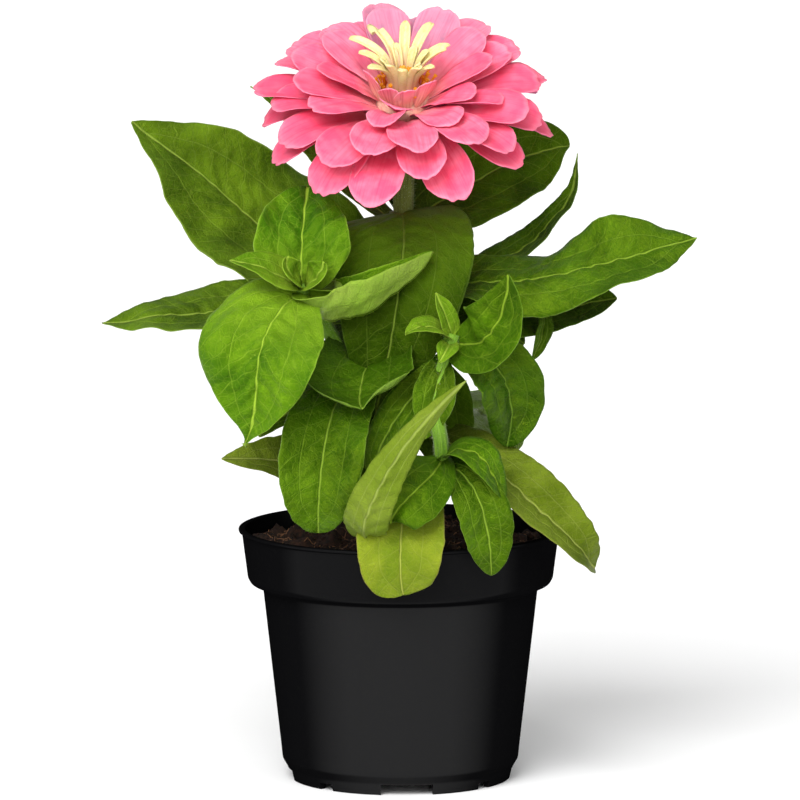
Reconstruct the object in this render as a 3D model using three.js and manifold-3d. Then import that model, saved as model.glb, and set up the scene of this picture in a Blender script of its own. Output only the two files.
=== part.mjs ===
// A pink zinnia in bloom, growing in a plastic nursery pot.
// Millimetres, +Z up. The origin is the middle of the pot's foot, on the surface it stands on.
import * as THREE from "three";
import { mergeVertices } from "three/addons/utils/BufferGeometryUtils.js";
import Module from "manifold-3d";

const wasm = await Module();
wasm.setup();

// Driving dimensions of the pot.
const POT_HEIGHT = 93.5;
const LIP_RADIUS = 60;
const LIP_DEPTH = 1.4;
const COLLAR_TOP_RADIUS = 58.8;
const COLLAR_LOW_RADIUS = 56.8;
const COLLAR_HEIGHT = 21;
const BODY_TOP_RADIUS = 51;
const BODY_LOW_RADIUS = 44;
const FOOT_RADIUS = 41;
const FOOT_WIDTH = 2.6;
const FOOT_HEIGHT = 4.2;
const FOOT_BAND = 4.3;
const CHAMFER_TOP = 7.4;
const BODY_LOW = 11.4;
const POT_WALL = 1.3;
const POT_SEGMENTS = 32;
const NOTCHES = { count: 8, width: [19, 6], depth: [4, 2.6] };
const DRAIN_HOLES = { count: 6, radius: 3.6, circle: 27 };

// Driving dimensions of the soil and of the stems that stand in it.
const CLEARANCE = 0.3;
const JOIN_TOLERANCE = 0.1;
const SOIL_LEVEL = 87.5;
const SOIL_BUMP = 2;
const STEM_FOOT = 62;
const STEM_SIDES = 8;
const STEM_HOLE_ROOM = 0.8;

// Blades. Thickness is a little over life, so that each stays a sound solid.
const LEAF_THICKNESS = 0.7;
const LEAF_GRIDS = [
  { narrowerThan: 16, rows: 4, columns: 2 },
  { narrowerThan: 35, rows: 5, columns: 4 },
  { narrowerThan: Infinity, rows: 6, columns: 4 },
];
const TIP_EASE = 1.35;
const NORMAL_STEP = 0.02;
const PETAL_GRID = { rows: 3, columns: 3, thickness: 0.65, pointed: false };
const CREAM_GRID = { rows: 2, columns: 1, thickness: 0.8, pointed: false };

// The bloom: its centre, its lean towards the front, and the pink core that carries the petals.
const BLOOM_CENTRE = new THREE.Vector3(1, -6, 251);
const BLOOM_LEAN = THREE.MathUtils.degToRad(27);
const CORE_RADIUS = 11;
const CORE_LOW = -8;
const CORE_TOP = 5;
const PEDUNCLE_RADIUS = 3.8;

const UP = new THREE.Vector3(0, 0, 1);

// A seeded draw, so that each build gives the same flower.
function seeded(seed) {
  let state = seed;
  return (low, high) => {
    state = (state * 1664525 + 1013904223) % 4294967296;
    return low + (high - low) * (state / 4294967296);
  };
}

// A point on the smooth curve that runs through evenly spaced points.
function through(points, t) {
  const last = points.length - 1;
  const out = new THREE.Vector3();
  for (let i = 0; i <= last; i += 1) {
    let weight = 1;
    for (let j = 0; j <= last; j += 1) {
      if (j !== i) weight *= (t * last - j) / (i - j);
    }
    out.addScaledVector(points[i], weight);
  }
  return out;
}

// Half of a leaf's width at t, as a share of its widest: a full base, then an ovate run to the tip.
function leafShare(t, leaf) {
  if (t < leaf.widest) return 1 - (1 - leaf.base) * (1 - t / leaf.widest) ** 2;
  const past = (t - leaf.widest) / (1 - leaf.widest);
  return Math.max(0, 1 - past * past) ** leaf.taper;
}

// Half of a petal's width at t: a narrow claw, widest near the end.
function petalShare(t, petal) {
  if (t < petal.widest) return 1 - (1 - petal.base) * (1 - t / petal.widest) ** 1.4;
  return 1 - (1 - petal.end) * ((t - petal.widest) / (1 - petal.widest)) ** 2;
}

// One point of a blade: t runs from root to tip, s from -1 to 1 across it.
function bladePoint(blade, share, t, s) {
  const step = 0.001;
  const point = through(blade.points, t);
  const along = through(blade.points, t + step).sub(through(blade.points, t - step)).normalize();
  const face = through(blade.face, t);
  face.addScaledVector(along, -face.dot(along)).normalize();
  const across = new THREE.Vector3().crossVectors(along, face);
  const u = Math.abs(s);
  const bend = s < 0 ? blade.curl[0] : blade.curl[1];
  const half = 0.5 * blade.width * share(t, blade);
  const end = blade.fold + bend * u;
  const straight = Math.abs(bend) < 0.001;
  const out = straight ? u * Math.cos(blade.fold) : (Math.sin(end) - Math.sin(blade.fold)) / bend;
  const rise = straight ? u * Math.sin(blade.fold) : (Math.cos(blade.fold) - Math.cos(end)) / bend;
  const turn = 2 * Math.PI * blade.waves * t + blade.phase * (s < 0 ? 1 : 2);
  const wave = blade.wave * u * u * Math.sin(turn) * Math.sin(Math.PI * Math.min(1, Math.max(0, t)));
  point.addScaledVector(across, Math.sign(s) * half * out);
  return point.addScaledVector(face, half * rise + wave);
}

// The blade's own normal there, from its two directions.
function bladeNormal(pointAt, t, s) {
  const along = pointAt(t + NORMAL_STEP, s).sub(pointAt(t - NORMAL_STEP, s));
  const across = pointAt(t, s + NORMAL_STEP).sub(pointAt(t, s - NORMAL_STEP));
  return across.cross(along).normalize();
}

// A closed blade: two faces split by the same diagonals, and a rim between them.
function bladeSolid(pointAt, lengthAt, { rows, columns, thickness, pointed }) {
  const vertices = [];
  const faces = [];
  const index = [];
  for (let i = 0; i <= rows; i += 1) {
    index.push([]);
    for (let j = 0; j <= columns; j += 1) {
      const tip = pointed && i === rows;
      if (tip && j > 0) {
        index[i].push(index[i][0]);
        continue;
      }
      const s = tip ? 0 : (2 * j) / columns - 1;
      const t = (pointed ? 1 - (1 - i / rows) ** TIP_EASE : i / rows) * lengthAt(Math.abs(s));
      const normal = bladeNormal(pointAt, Math.min(t, 1 - NORMAL_STEP), s * (1 - NORMAL_STEP));
      const point = pointAt(t, s);
      index[i].push(vertices.length / 2);
      vertices.push(point.clone().addScaledVector(normal, thickness / 2));
      vertices.push(point.clone().addScaledVector(normal, -thickness / 2));
    }
  }
  const add = (a, b, c) => {
    if (a !== b && b !== c && c !== a) faces.push(a, b, c);
  };
  const quad = (a, b, c, d) => {
    add(a, b, c);
    add(a, c, d);
  };
  const top = (i, j) => 2 * index[i][j];
  const under = (i, j) => 2 * index[i][j] + 1;
  for (let i = 0; i < rows; i += 1) {
    for (let j = 0; j < columns; j += 1) {
      quad(top(i, j), top(i, j + 1), top(i + 1, j + 1), top(i + 1, j));
      add(under(i, j), under(i + 1, j + 1), under(i, j + 1));
      add(under(i, j), under(i + 1, j), under(i + 1, j + 1));
    }
    quad(top(i, 0), top(i + 1, 0), under(i + 1, 0), under(i, 0));
    quad(top(i, columns), under(i, columns), under(i + 1, columns), top(i + 1, columns));
  }
  for (let j = 0; j < columns; j += 1) {
    quad(top(0, j), under(0, j), under(0, j + 1), top(0, j + 1));
    if (!pointed) quad(top(rows, j), top(rows, j + 1), under(rows, j + 1), under(rows, j));
  }
  return solidOf(vertices.flatMap((v) => [v.x, v.y, v.z]), faces);
}

function solidOf(positions, triangles) {
  return new wasm.Manifold(new wasm.Mesh({
    numProp: 3,
    vertProperties: new Float32Array(positions),
    triVerts: new Uint32Array(triangles),
  }));
}

// A closed three.js geometry as a solid.
function solidFrom(geometry) {
  const bare = geometry.clone();
  bare.deleteAttribute("normal");
  bare.deleteAttribute("uv");
  const merged = mergeVertices(bare, 0.0001);
  const keep = [];
  const index = merged.index.array;
  for (let i = 0; i < index.length; i += 3) {
    const [a, b, c] = [index[i], index[i + 1], index[i + 2]];
    if (a !== b && b !== c && c !== a) keep.push(a, b, c);
  }
  return solidOf(merged.attributes.position.array, keep);
}

// Joins solids into one body. A hollow that joining seals is filled and a loose scrap is dropped.
function joined(solids) {
  let whole = solids[0];
  for (const solid of solids.slice(1)) whole = whole.add(solid);
  whole = whole.simplify(JOIN_TOLERANCE);
  const mesh = whole.getMesh();
  const parent = Array.from({ length: mesh.numVert }, (_, i) => i);
  const root = (i) => {
    let at = i;
    while (parent[at] !== at) {
      parent[at] = parent[parent[at]];
      at = parent[at];
    }
    return at;
  };
  const merge = (a, b) => {
    parent[root(a)] = root(b);
  };
  for (let i = 0; i < mesh.mergeFromVert.length; i += 1) {
    merge(mesh.mergeFromVert[i], mesh.mergeToVert[i]);
  }
  for (let i = 0; i < mesh.triVerts.length; i += 3) {
    merge(mesh.triVerts[i], mesh.triVerts[i + 1]);
    merge(mesh.triVerts[i], mesh.triVerts[i + 2]);
  }
  const shells = new Map();
  for (let i = 0; i < mesh.triVerts.length; i += 3) {
    const key = root(mesh.triVerts[i]);
    if (!shells.has(key)) shells.set(key, []);
    shells.get(key).push(mesh.triVerts[i], mesh.triVerts[i + 1], mesh.triVerts[i + 2]);
  }
  const largest = [...shells.values()].reduce((a, b) => (b.length > a.length ? b : a));
  const geometry = new THREE.BufferGeometry();
  const positions = [];
  for (let i = 0; i < mesh.numVert; i += 1) {
    const at = i * mesh.numProp;
    positions.push(mesh.vertProperties[at], mesh.vertProperties[at + 1], mesh.vertProperties[at + 2]);
  }
  geometry.setAttribute("position", new THREE.Float32BufferAttribute(positions, 3));
  geometry.setIndex(largest);
  return geometry;
}

function vector([x, y, z]) {
  return new THREE.Vector3(x, y, z);
}

// A stem: a round section drawn along a curve through the given points.
function stemSolid(points, radius) {
  const section = new THREE.Shape();
  for (let i = 0; i < STEM_SIDES; i += 1) {
    const angle = (2 * Math.PI * i) / STEM_SIDES;
    const at = [radius * Math.cos(angle), radius * Math.sin(angle)];
    if (i === 0) section.moveTo(...at);
    else section.lineTo(...at);
  }
  section.closePath();
  const path = new THREE.CatmullRomCurve3(points.map(vector));
  return solidFrom(new THREE.ExtrudeGeometry(section, {
    steps: 3 * (points.length - 1),
    bevelEnabled: false,
    extrudePath: path,
  }));
}

const LEAF = {
  fold: 0.12, curl: [0.1, 0.1], taper: 0.85, widest: 0.45, base: 0.35, wave: 0, waves: 2, phase: 0.5,
};

function leafSolid(leaf) {
  const blade = { ...LEAF, ...leaf, points: leaf.points.map(vector), face: leaf.face.map(vector) };
  const grid = LEAF_GRIDS.find(({ narrowerThan }) => blade.width < narrowerThan);
  const pointAt = (t, s) => bladePoint(blade, leafShare, t, s);
  return bladeSolid(pointAt, () => 1, { ...grid, thickness: LEAF_THICKNESS, pointed: true });
}

// Leaves of the main stem and of the side shoot on its left. Each has the points of its midrib
// from root to tip, its greatest width, and the way its upper face looks.
const MAIN_LEAVES = [
  { points: [[-2, 1, 164], [-34, 22, 188], [-67, 34, 215], [-100, 38, 241]], width: 57,
    face: [[0.25, -0.8, 0.55]], curl: [0.2, 0.2], taper: 0.95, base: 0.5, wave: 4, waves: 2.5,
    phase: 1 },
  { points: [[-3, 0, 180], [-38, -4, 176], [-75, -12, 175], [-110, -8, 171]], width: 30,
    face: [[0, -0.62, 0.78], [0, -0.6, 0.8], [-0.5, -0.3, 0.8]], curl: [0.1, -0.1], wave: 2 },
  { points: [[0, -3, 211], [1, -23, 199], [-3, -31, 170], [-11, -23, 132]], width: 52,
    face: [[0, -0.7, 0.7], [0, -0.9, 0.4], [0, -1, 0.1]],
    fold: 0.08, curl: [-0.2, -0.2], taper: 1, widest: 0.3, base: 0.75, wave: 2, waves: 1.5 },
  { points: [[1, 3, 207], [20, 18, 216], [43, 28, 227], [63, 30, 232]], width: 35,
    face: [[0.1, -0.85, 0.5]], taper: 0.6, widest: 0.5, base: 0.6, wave: 2 },
  { points: [[2, 2, 178], [31, 12, 189], [55, 25, 203], [66, 36, 229]], width: 15,
    face: [[-0.3, -0.5, 0.8]], taper: 1.4, fold: 0.2 },
  { points: [[2, -2, 190], [42, -14, 187], [78, -18, 195], [109, -14, 203]], width: 34,
    face: [[0, -0.5, 0.85], [0, -0.6, 0.8], [0, -0.8, 0.6]], curl: [0, 0.1], widest: 0.62, taper: 1.2,
    wave: 6, waves: 1.67, phase: 0.3 },
  { points: [[3, 1, 160], [30, 4, 170], [57, 3, 175], [80, 0, 179]], width: 28, face: [[0, -0.7, 0.7]],
    taper: 0.8, widest: 0.55 },
  { points: [[51, -1, 177], [52, -8, 168], [48, -10, 157]], width: 8, face: [[0.5, -0.8, 0.2]], fold: 0.3 },
  { points: [[20, 4, 158], [33, 2, 167], [46, 0, 162]], width: 20, face: [[0, -0.7, 0.7]] },
  { points: [[-3, -3, 153], [-22, -34, 148], [-29, -54, 122], [-30, -52, 99]], width: 32,
    face: [[0, -0.5, 0.86], [-0.05, -0.9, 0.4], [-0.05, -0.98, 0.1]],
    curl: [0.15, 0.15], taper: 0.8, widest: 0.6, base: 0.3, wave: 1.5 },
  { points: [[-2, -3, 172], [-12, -29, 158], [-15, -44, 149], [-14, -54, 146]], width: 44,
    face: [[-0.1, -0.5, 0.86], [-0.15, -0.6, 0.75]], fold: 0.15, curl: [0.5, 0.9], taper: 0.3,
    widest: 0.6 },
  { points: [[4, -4, 130], [30, -32, 123], [55, -49, 104], [72, -44, 85]], width: 25,
    face: [[0.3, -0.6, 0.75], [0.3, -0.75, 0.55]], fold: 0.35, curl: [0.2, 0.1], taper: 0.6,
    widest: 0.5 },
  { points: [[-4, -1, 112], [-35, -8, 119], [-66, -14, 121]], width: 20, face: [[0, -0.8, 0.6]],
    wave: 2, waves: 1.5 },
  { points: [[3, -1, 150], [13, -11, 140], [17, -15, 113]], width: 28, face: [[0.2, -0.95, 0.2]],
    taper: 0.7 },
  { points: [[-3, -2, 138], [-30, -14, 143], [-52, -20, 130]], width: 14, face: [[0, -0.7, 0.7]] },
  { points: [[-3, -3, 140], [-12, -24, 138], [-17, -34, 124], [-20, -35, 108]], width: 26,
    face: [[0.1, -0.6, 0.8], [0.1, -0.95, 0.3]], taper: 0.7, widest: 0.6 },
  { points: [[-2, 2, 207], [-22, 24, 223], [-37, 34, 239], [-56, 36, 254]], width: 13,
    face: [[0.2, -0.85, 0.5]], taper: 1.1, widest: 0.4 },
  { points: [[0, 3, 186], [4, 26, 192], [6, 48, 182], [4, 62, 166]], width: 34,
    face: [[0, 0.4, 0.9], [0.1, 0.9, 0.4]], wave: 2 },
  { points: [[0, 3, 150], [-16, 24, 156], [-30, 44, 146], [-36, 58, 128]], width: 34,
    face: [[0, 0.3, 0.95], [-0.2, 0.8, 0.5]], wave: 2 },
  { points: [[0, 3, 134], [18, 22, 138], [34, 42, 128], [42, 54, 112]], width: 30,
    face: [[0, 0.3, 0.95], [0.3, 0.8, 0.5]], wave: 1.5 },
  { points: [[0, 3, 116], [-8, 32, 122], [-12, 60, 114], [-13, 76, 99]], width: 26,
    face: [[0, 0.3, 0.95], [0, 0.9, 0.4]], taper: 0.7 },
];

const SIDE_SHOOT_LEAVES = [
  { points: [[-36, -35, 186], [-36, -32, 204], [-34, -16, 223]], width: 37,
    face: [[0, -0.95, 0.3], [0, -0.9, 0.4]], fold: 0.15, curl: [0.3, 0.3], taper: 0.7, wave: 1 },
  { points: [[-36, -37, 186], [-49, -52, 171], [-53, -58, 151], [-56, -50, 132]], width: 46,
    face: [[-0.1, -0.75, 0.65], [-0.15, -0.9, 0.4], [-0.2, -0.97, 0.05]],
    curl: [0.1, -0.1], taper: 1.45, widest: 0.38, base: 0.4, wave: 2, waves: 2.5 },
  { points: [[-37, -37, 188], [-49, -44, 195], [-62, -48, 199]], width: 15, face: [[0.1, -0.7, 0.7]],
    fold: 0.3, taper: 1, widest: 0.35 },
  { points: [[-34, -37, 186], [-25, -41, 177], [-8, -39, 182], [12, -30, 200]], width: 34,
    face: [[-0.3, 0.1, 0.95]], fold: 0.5, curl: [1.2, 0.5], taper: 0.8, widest: 0.5 },
  { points: [[-36, -37, 188], [-40, -44, 194], [-41, -46, 200]], width: 11, face: [[0.2, -0.7, 0.7]],
    fold: 0.3 },
  { points: [[-35, -37, 188], [-31, -43, 193], [-28, -44, 198]], width: 12, face: [[-0.2, -0.7, 0.7]],
    fold: 0.3 },
];

const RIGHT_SHOOT_LEAVES = [
  { points: [[19, -36, 168], [32, -48, 172], [39, -50, 194]], width: 27, face: [[-0.3, -0.9, 0.3]],
    taper: 0.95, base: 0.4 },
  { points: [[19, -36, 168], [17, -38, 176], [13, -40, 186]], width: 9, face: [[0.3, -0.9, 0.3]], fold: 0.3 },
  { points: [[19, -37, 169], [10, -44, 174], [2, -48, 171]], width: 11, face: [[0, -0.6, 0.8]], fold: 0.2 },
  { points: [[18, -37, 167], [17, -44, 166], [14, -46, 161]], width: 8, face: [[0, -0.9, 0.3]], fold: 0.2 },
  { points: [[18, -36, 165], [38, -38, 155], [39, -32, 128]], width: 26, face: [[0.3, -0.9, 0.3]],
    curl: [0.2, 0.2], taper: 0.6, widest: 0.6 },
  { points: [[14, -40, 160], [-3, -41, 138], [-11, -39, 117]], width: 15, face: [[-0.4, -0.85, 0.3]] },
  { points: [[15, -39, 161], [12, -44, 147], [9, -46, 133]], width: 17, face: [[0, -0.95, 0.3]],
    fold: 0.25, curl: [0.3, 0.3], base: 0.4 },
  { points: [[15, -48, 127], [10, -62, 121], [1, -69, 113], [-3, -69, 105]], width: 24,
    face: [[0.1, -0.8, 0.6], [0.1, -0.97, 0.2]], curl: [-0.1, -0.1], taper: 0.6, widest: 0.55, base: 0.25 },
  { points: [[15, -47, 125], [27, -60, 116], [32, -62, 100], [33, -58, 85]], width: 20,
    face: [[0.1, -0.8, 0.6], [0.1, -0.98, 0.1]], taper: 0.75, widest: 0.5, base: 0.4 },
  { points: [[15, -48, 127], [25, -60, 131], [33, -62, 124], [37, -58, 111]], width: 15,
    face: [[0, -0.6, 0.8], [0.6, -0.6, 0.5]], taper: 0.8, widest: 0.4, base: 0.5 },
];

const LOW_SHOOT_LEAVES = [
  { points: [[-5, -38, 100], [-13, -71, 104], [-3, -77, 128], [24, -63, 157]], width: 17,
    face: [[0.2, 0.95, 0.2]], curl: [0.2, 0.2], taper: 1, widest: 0.4 },
  { points: [[1, -41, 118], [1, -57, 110], [0, -67, 95], [1, -66, 79]], width: 32,
    face: [[0, -0.8, 0.6], [0, -0.95, 0.3], [0, -1, 0]], fold: 0.08, taper: 0.34, widest: 0.6, base: 0.5 },
];

const MAIN_STEM = [[0, 0, STEM_FOOT], [0, 0, 90], [-1, 0, 141], [1, 0, 211]];
const PEDUNCLE = [[1, 0, 206], [1, 2, 222], [1, 1, 237]];
const SIDE_SHOOT_STEM = [[-1, -1, 134], [-22, -22, 163], [-36, -36, 188]];
const BACK_TWIG = [[1, 0, 148], [30, 6, 166], [51, -1, 178]];
const RIGHT_STEM = [
  [9, -20, STEM_FOOT], [9, -20, 78], [9, -21, 94], [15, -48, 127], [13, -42, 147], [19, -36, 170],
];
const LOW_STEM = [[-5, -30, STEM_FOOT], [-5, -30, 78], [-5, -31, 94], [-3, -37, 106], [1, -42, 119]];
const MAIN_STEM_RADIUS = 4.6;
const SIDE_STEM_RADIUS = 2.7;
const TWIG_RADIUS = 1.6;
const STEM_HOLES = [[0, 0, MAIN_STEM_RADIUS], [9, -20, SIDE_STEM_RADIUS], [-5, -30, SIDE_STEM_RADIUS]];

// The flower head is laid out round its own axis. These two lean it and put it in place.
function inPlace(point) {
  return point.applyAxisAngle(new THREE.Vector3(1, 0, 0), BLOOM_LEAN).add(BLOOM_CENTRE);
}

function placed(geometry) {
  geometry.rotateX(BLOOM_LEAN);
  geometry.translate(BLOOM_CENTRE.x, BLOOM_CENTRE.y, BLOOM_CENTRE.z);
  return solidFrom(geometry);
}

function latheOf(profile, segments) {
  const points = profile.map(([r, z]) => new THREE.Vector2(r, z));
  return new THREE.LatheGeometry(points, segments).rotateX(Math.PI / 2);
}

// The green cup under the petals, with the peduncle running into it.
function bractCup() {
  return placed(latheOf([[0, -20], [3.6, -20], [7.5, -15.5], [9.3, -11.5], [9.6, CORE_LOW - CLEARANCE - 1.2],
    [8.6, CORE_LOW - CLEARANCE], [0, CORE_LOW - CLEARANCE]], 16));
}

function mainStem() {
  return joined([
    stemSolid(MAIN_STEM, MAIN_STEM_RADIUS), stemSolid(PEDUNCLE, PEDUNCLE_RADIUS), bractCup(),
    stemSolid(SIDE_SHOOT_STEM, SIDE_STEM_RADIUS), stemSolid(BACK_TWIG, TWIG_RADIUS),
    ...MAIN_LEAVES.map(leafSolid), ...SIDE_SHOOT_LEAVES.map(leafSolid),
  ]);
}

function rightShoot() {
  return joined([stemSolid(RIGHT_STEM, SIDE_STEM_RADIUS), ...RIGHT_SHOOT_LEAVES.map(leafSolid)]);
}

function lowShoot() {
  return joined([stemSolid(LOW_STEM, SIDE_STEM_RADIUS), ...LOW_SHOOT_LEAVES.map(leafSolid)]);
}

// Layers of petals, lowest first: where each petal points, in degrees round from the front, how
// far its tip is from the bloom's centre and how high it points, in front and behind, how much it
// arches, the height of its root, and its width.
const PETAL_LAYERS = [
  { turns: [-62, -36, -13, 22, 54, 86, 116, 148, 179, -150, -119, -90], reach: [57, 54.5], rise: [-9, -9],
    arch: 6, root: -6.5, width: 19.5 },
  { turns: [-94, -57, -34, 11, 46, 76, 107, 135, 165, -162, -130], reach: [53, 55.5], rise: [2, 2],
    arch: 5, root: -4.5, width: 19 },
  { turns: [-78, -17, 6, 34, 64, 94, 122, 150, 179, -147, -112], reach: [49, 51], rise: [11, 8],
    arch: 4, root: -2, width: 19 },
  { turns: [-81, -58, -14, 29, 63, 112, 139, 164, -170, -140, -107], reach: [35, 48], rise: [19, 17],
    arch: 2.5, root: 0.5, width: 17.5 },
  { turns: [-12, 58, 94, 126, 156, -170, -128, -90], reach: [25, 42.5], rise: [28, 29],
    arch: 1, root: 2.5, width: 17 },
  { turns: [-66, -24, 8, 40], reach: [21, 25], rise: [50, 54], arch: -1, root: 3.5, width: 10.5 },
];

function petalSolid(layer, turn, draw) {
  const angle = THREE.MathUtils.degToRad(turn);
  const behind = Math.abs(Math.sin(angle / 2));
  const between = ([front, back]) => front + (back - front) * behind;
  const rise = THREE.MathUtils.degToRad(between(layer.rise) + draw(-2.5, 2.5));
  const reach = between(layer.reach) * draw(0.96, 1.04);
  const out = new THREE.Vector3(Math.sin(angle), -Math.cos(angle), 0);
  const side = new THREE.Vector3(Math.cos(angle), Math.sin(angle), 0);
  const at = (r, z, x) => out.clone().multiplyScalar(r).addScaledVector(UP, z).addScaledVector(side, x);
  const tip = at(reach * Math.cos(rise), reach * Math.sin(rise), draw(-1.5, 1.5));
  const root = at(CORE_RADIUS - 2.5, layer.root, 0);
  const middle = root.clone().lerp(tip, 0.5).addScaledVector(UP, layer.arch);
  const face = UP.clone().multiplyScalar(Math.cos(rise)).addScaledVector(out, -Math.sin(rise));
  face.addScaledVector(side, draw(-0.18, 0.18));
  const blade = {
    points: [root, middle, tip], face: [face], width: layer.width * Math.sqrt(reach / layer.reach[1]),
    fold: draw(0, 0.1), curl: [draw(0.1, 0.4), draw(0.1, 0.4)], wave: 0, waves: 1, phase: 0,
    widest: 0.7, base: 0.28, end: 0.72,
  };
  const notch = draw(0, 0.04);
  const pointAt = (t, s) => inPlace(bladePoint(blade, petalShare, t, s));
  const lengthAt = (u) => 1 - 0.22 * u ** 3 - notch * Math.max(0, 1 - u / 0.35);
  return bladeSolid(pointAt, lengthAt, PETAL_GRID);
}

function rayPetals() {
  const draw = seeded(11);
  const core = placed(latheOf([[0, CORE_LOW], [CORE_RADIUS - 1.5, CORE_LOW], [CORE_RADIUS, CORE_LOW + 2],
    [CORE_RADIUS, CORE_TOP - 2], [CORE_RADIUS - 1, CORE_TOP], [0, CORE_TOP]], 16));
  const petals = PETAL_LAYERS.flatMap((layer) => layer.turns.map((turn) => petalSolid(layer, turn, draw)));
  return joined([core, ...petals]);
}

// The orange disc on top of the pink core, with small florets round its edge and in its middle.
const DISC = { radius: 8.2, low: CORE_TOP + CLEARANCE, height: 1.2, crown: 0.3, boss: 3, bossHeight: 2.4 };
const DISC_FLORETS = [
  { count: 9, circle: 7.4, lean: 10, height: 5, radius: 0.8 },
  { count: 4, circle: 1.4, lean: 5, height: 9, radius: 0.9 },
];

function discFlorets() {
  const draw = seeded(5);
  const { radius, low, height, crown, boss, bossHeight } = DISC;
  const solids = [placed(latheOf([[0, low], [radius, low], [radius, low + height],
    [boss, low + height + crown], [boss - 0.6, low + bossHeight], [0, low + bossHeight]], 12))];
  for (const ring of DISC_FLORETS) {
    for (let i = 0; i < ring.count; i += 1) {
      const tall = ring.height * draw(0.75, 1.2);
      const floret = new THREE.CylinderGeometry(ring.radius * 1.2, ring.radius * 0.7, tall, 4);
      floret.rotateX(Math.PI / 2);
      floret.translate(0, 0, tall / 2);
      floret.rotateX(THREE.MathUtils.degToRad(ring.lean));
      floret.translate(0, -ring.circle, low + 0.5);
      floret.rotateZ((2 * Math.PI * (i + draw(-0.25, 0.25))) / ring.count);
      solids.push(placed(floret));
    }
  }
  return joined(solids);
}

// Cream, strap-shaped florets that stand in a ring round the disc's middle. Lean and height run
// from the front to the back of the bloom, and those on the left lean out further.
const LEFT_SPREAD = 0.4;
const CREAM_RING = {
  inner: 3.5, outer: 6.2, low: DISC.low + DISC.height + DISC.crown + CLEARANCE, height: 1.4,
};
const CREAM_FLORETS = [
  { count: 12, circle: 5.4, lean: [12, 42], height: [14, 24], width: 4.4 },
  { count: 7, circle: 4.4, lean: [8, 18], height: [13, 16], width: 3.6 },
];

function creamFlorets() {
  const draw = seeded(23);
  const { inner, outer, low, height } = CREAM_RING;
  const top = low + height;
  const section = [[inner, low], [outer, low], [outer, top], [inner, top], [inner, low]];
  const solids = [placed(latheOf(section, 16))];
  for (const ring of CREAM_FLORETS) {
    for (let i = 0; i < ring.count; i += 1) {
      const angle = (2 * Math.PI * (i + draw(-0.2, 0.2))) / ring.count;
      const out = new THREE.Vector3(Math.sin(angle), -Math.cos(angle), 0);
      const behind = Math.abs(Math.sin(angle / 2));
      const between = ([front, back]) => front + (back - front) * behind;
      const left = 1 + LEFT_SPREAD * Math.max(0, -out.x);
      const lean = THREE.MathUtils.degToRad(between(ring.lean) * left * draw(0.8, 1.3));
      const tall = between(ring.height) * draw(0.8, 1.1);
      const at = (r, z) => out.clone().multiplyScalar(r).addScaledVector(UP, z);
      const blade = {
        points: [at(ring.circle, low + 0.4), at(ring.circle + 0.2 * tall * Math.sin(lean), low + 0.5 * tall),
          at(ring.circle + tall * Math.sin(lean), low + tall * Math.cos(lean))],
        face: [out.clone().negate()], width: ring.width, fold: 0, curl: [0, 0],
        wave: 0, waves: 1, phase: 0, widest: 0.75, base: 0.55, end: 0.7,
      };
      const pointAt = (t, s) => inPlace(bladePoint(blade, petalShare, t, s));
      solids.push(bladeSolid(pointAt, () => 1, CREAM_GRID));
    }
  }
  return joined(solids);
}

// The pot's inside, from the inner edge of its lip down to the middle of its floor.
function potInside() {
  const shoulder = POT_HEIGHT - COLLAR_HEIGHT;
  const floor = FOOT_HEIGHT + POT_WALL;
  return [
    [COLLAR_TOP_RADIUS - POT_WALL, POT_HEIGHT], [COLLAR_LOW_RADIUS - POT_WALL - 0.4, shoulder + 3.2],
    [BODY_TOP_RADIUS - POT_WALL, shoulder], [BODY_LOW_RADIUS + 0.2 - POT_WALL, BODY_LOW],
    [FOOT_RADIUS - FOOT_WIDTH + 2, floor], [0, floor],
  ];
}

// Outline of the pot, from the middle of its floor's underside round the wall and back.
function potOutline() {
  const shoulder = POT_HEIGHT - COLLAR_HEIGHT;
  return [
    [0, FOOT_HEIGHT], [FOOT_RADIUS - FOOT_WIDTH, FOOT_HEIGHT],
    [FOOT_RADIUS - FOOT_WIDTH, 0], [FOOT_RADIUS, 0],
    [FOOT_RADIUS + 1, FOOT_BAND], [BODY_LOW_RADIUS - 0.2, CHAMFER_TOP], [BODY_LOW_RADIUS + 0.2, BODY_LOW],
    [BODY_TOP_RADIUS, shoulder - 1], [BODY_TOP_RADIUS + 1.6, shoulder],
    [COLLAR_LOW_RADIUS - 1.2, shoulder + 0.8], [COLLAR_LOW_RADIUS - 0.2, shoulder + 2.6],
    [COLLAR_TOP_RADIUS, POT_HEIGHT - LIP_DEPTH], [LIP_RADIUS, POT_HEIGHT - LIP_DEPTH + 0.3],
    [LIP_RADIUS, POT_HEIGHT - 0.3], [LIP_RADIUS - 0.5, POT_HEIGHT],
    ...potInside(),
  ];
}

function pot() {
  let solid = solidFrom(latheOf(potOutline(), POT_SEGMENTS));
  for (let i = 0; i < NOTCHES.count; i += 1) {
    const width = NOTCHES.width[i % 2];
    const depth = NOTCHES.depth[i % 2];
    const notch = new THREE.BoxGeometry(width, 8, 2 * depth);
    notch.translate(0, -FOOT_RADIUS, 0);
    notch.rotateZ((2 * Math.PI * i) / NOTCHES.count + 0.06);
    solid = solid.subtract(solidFrom(notch));
  }
  for (let i = 0; i < DRAIN_HOLES.count; i += 1) {
    const hole = new THREE.CylinderGeometry(DRAIN_HOLES.radius, DRAIN_HOLES.radius, 8, 12);
    hole.rotateX(Math.PI / 2);
    hole.translate(DRAIN_HOLES.circle, 0, FOOT_HEIGHT);
    hole.rotateZ((2 * Math.PI * i) / DRAIN_HOLES.count);
    solid = solid.subtract(solidFrom(hole));
  }
  return joined([solid]);
}

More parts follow.
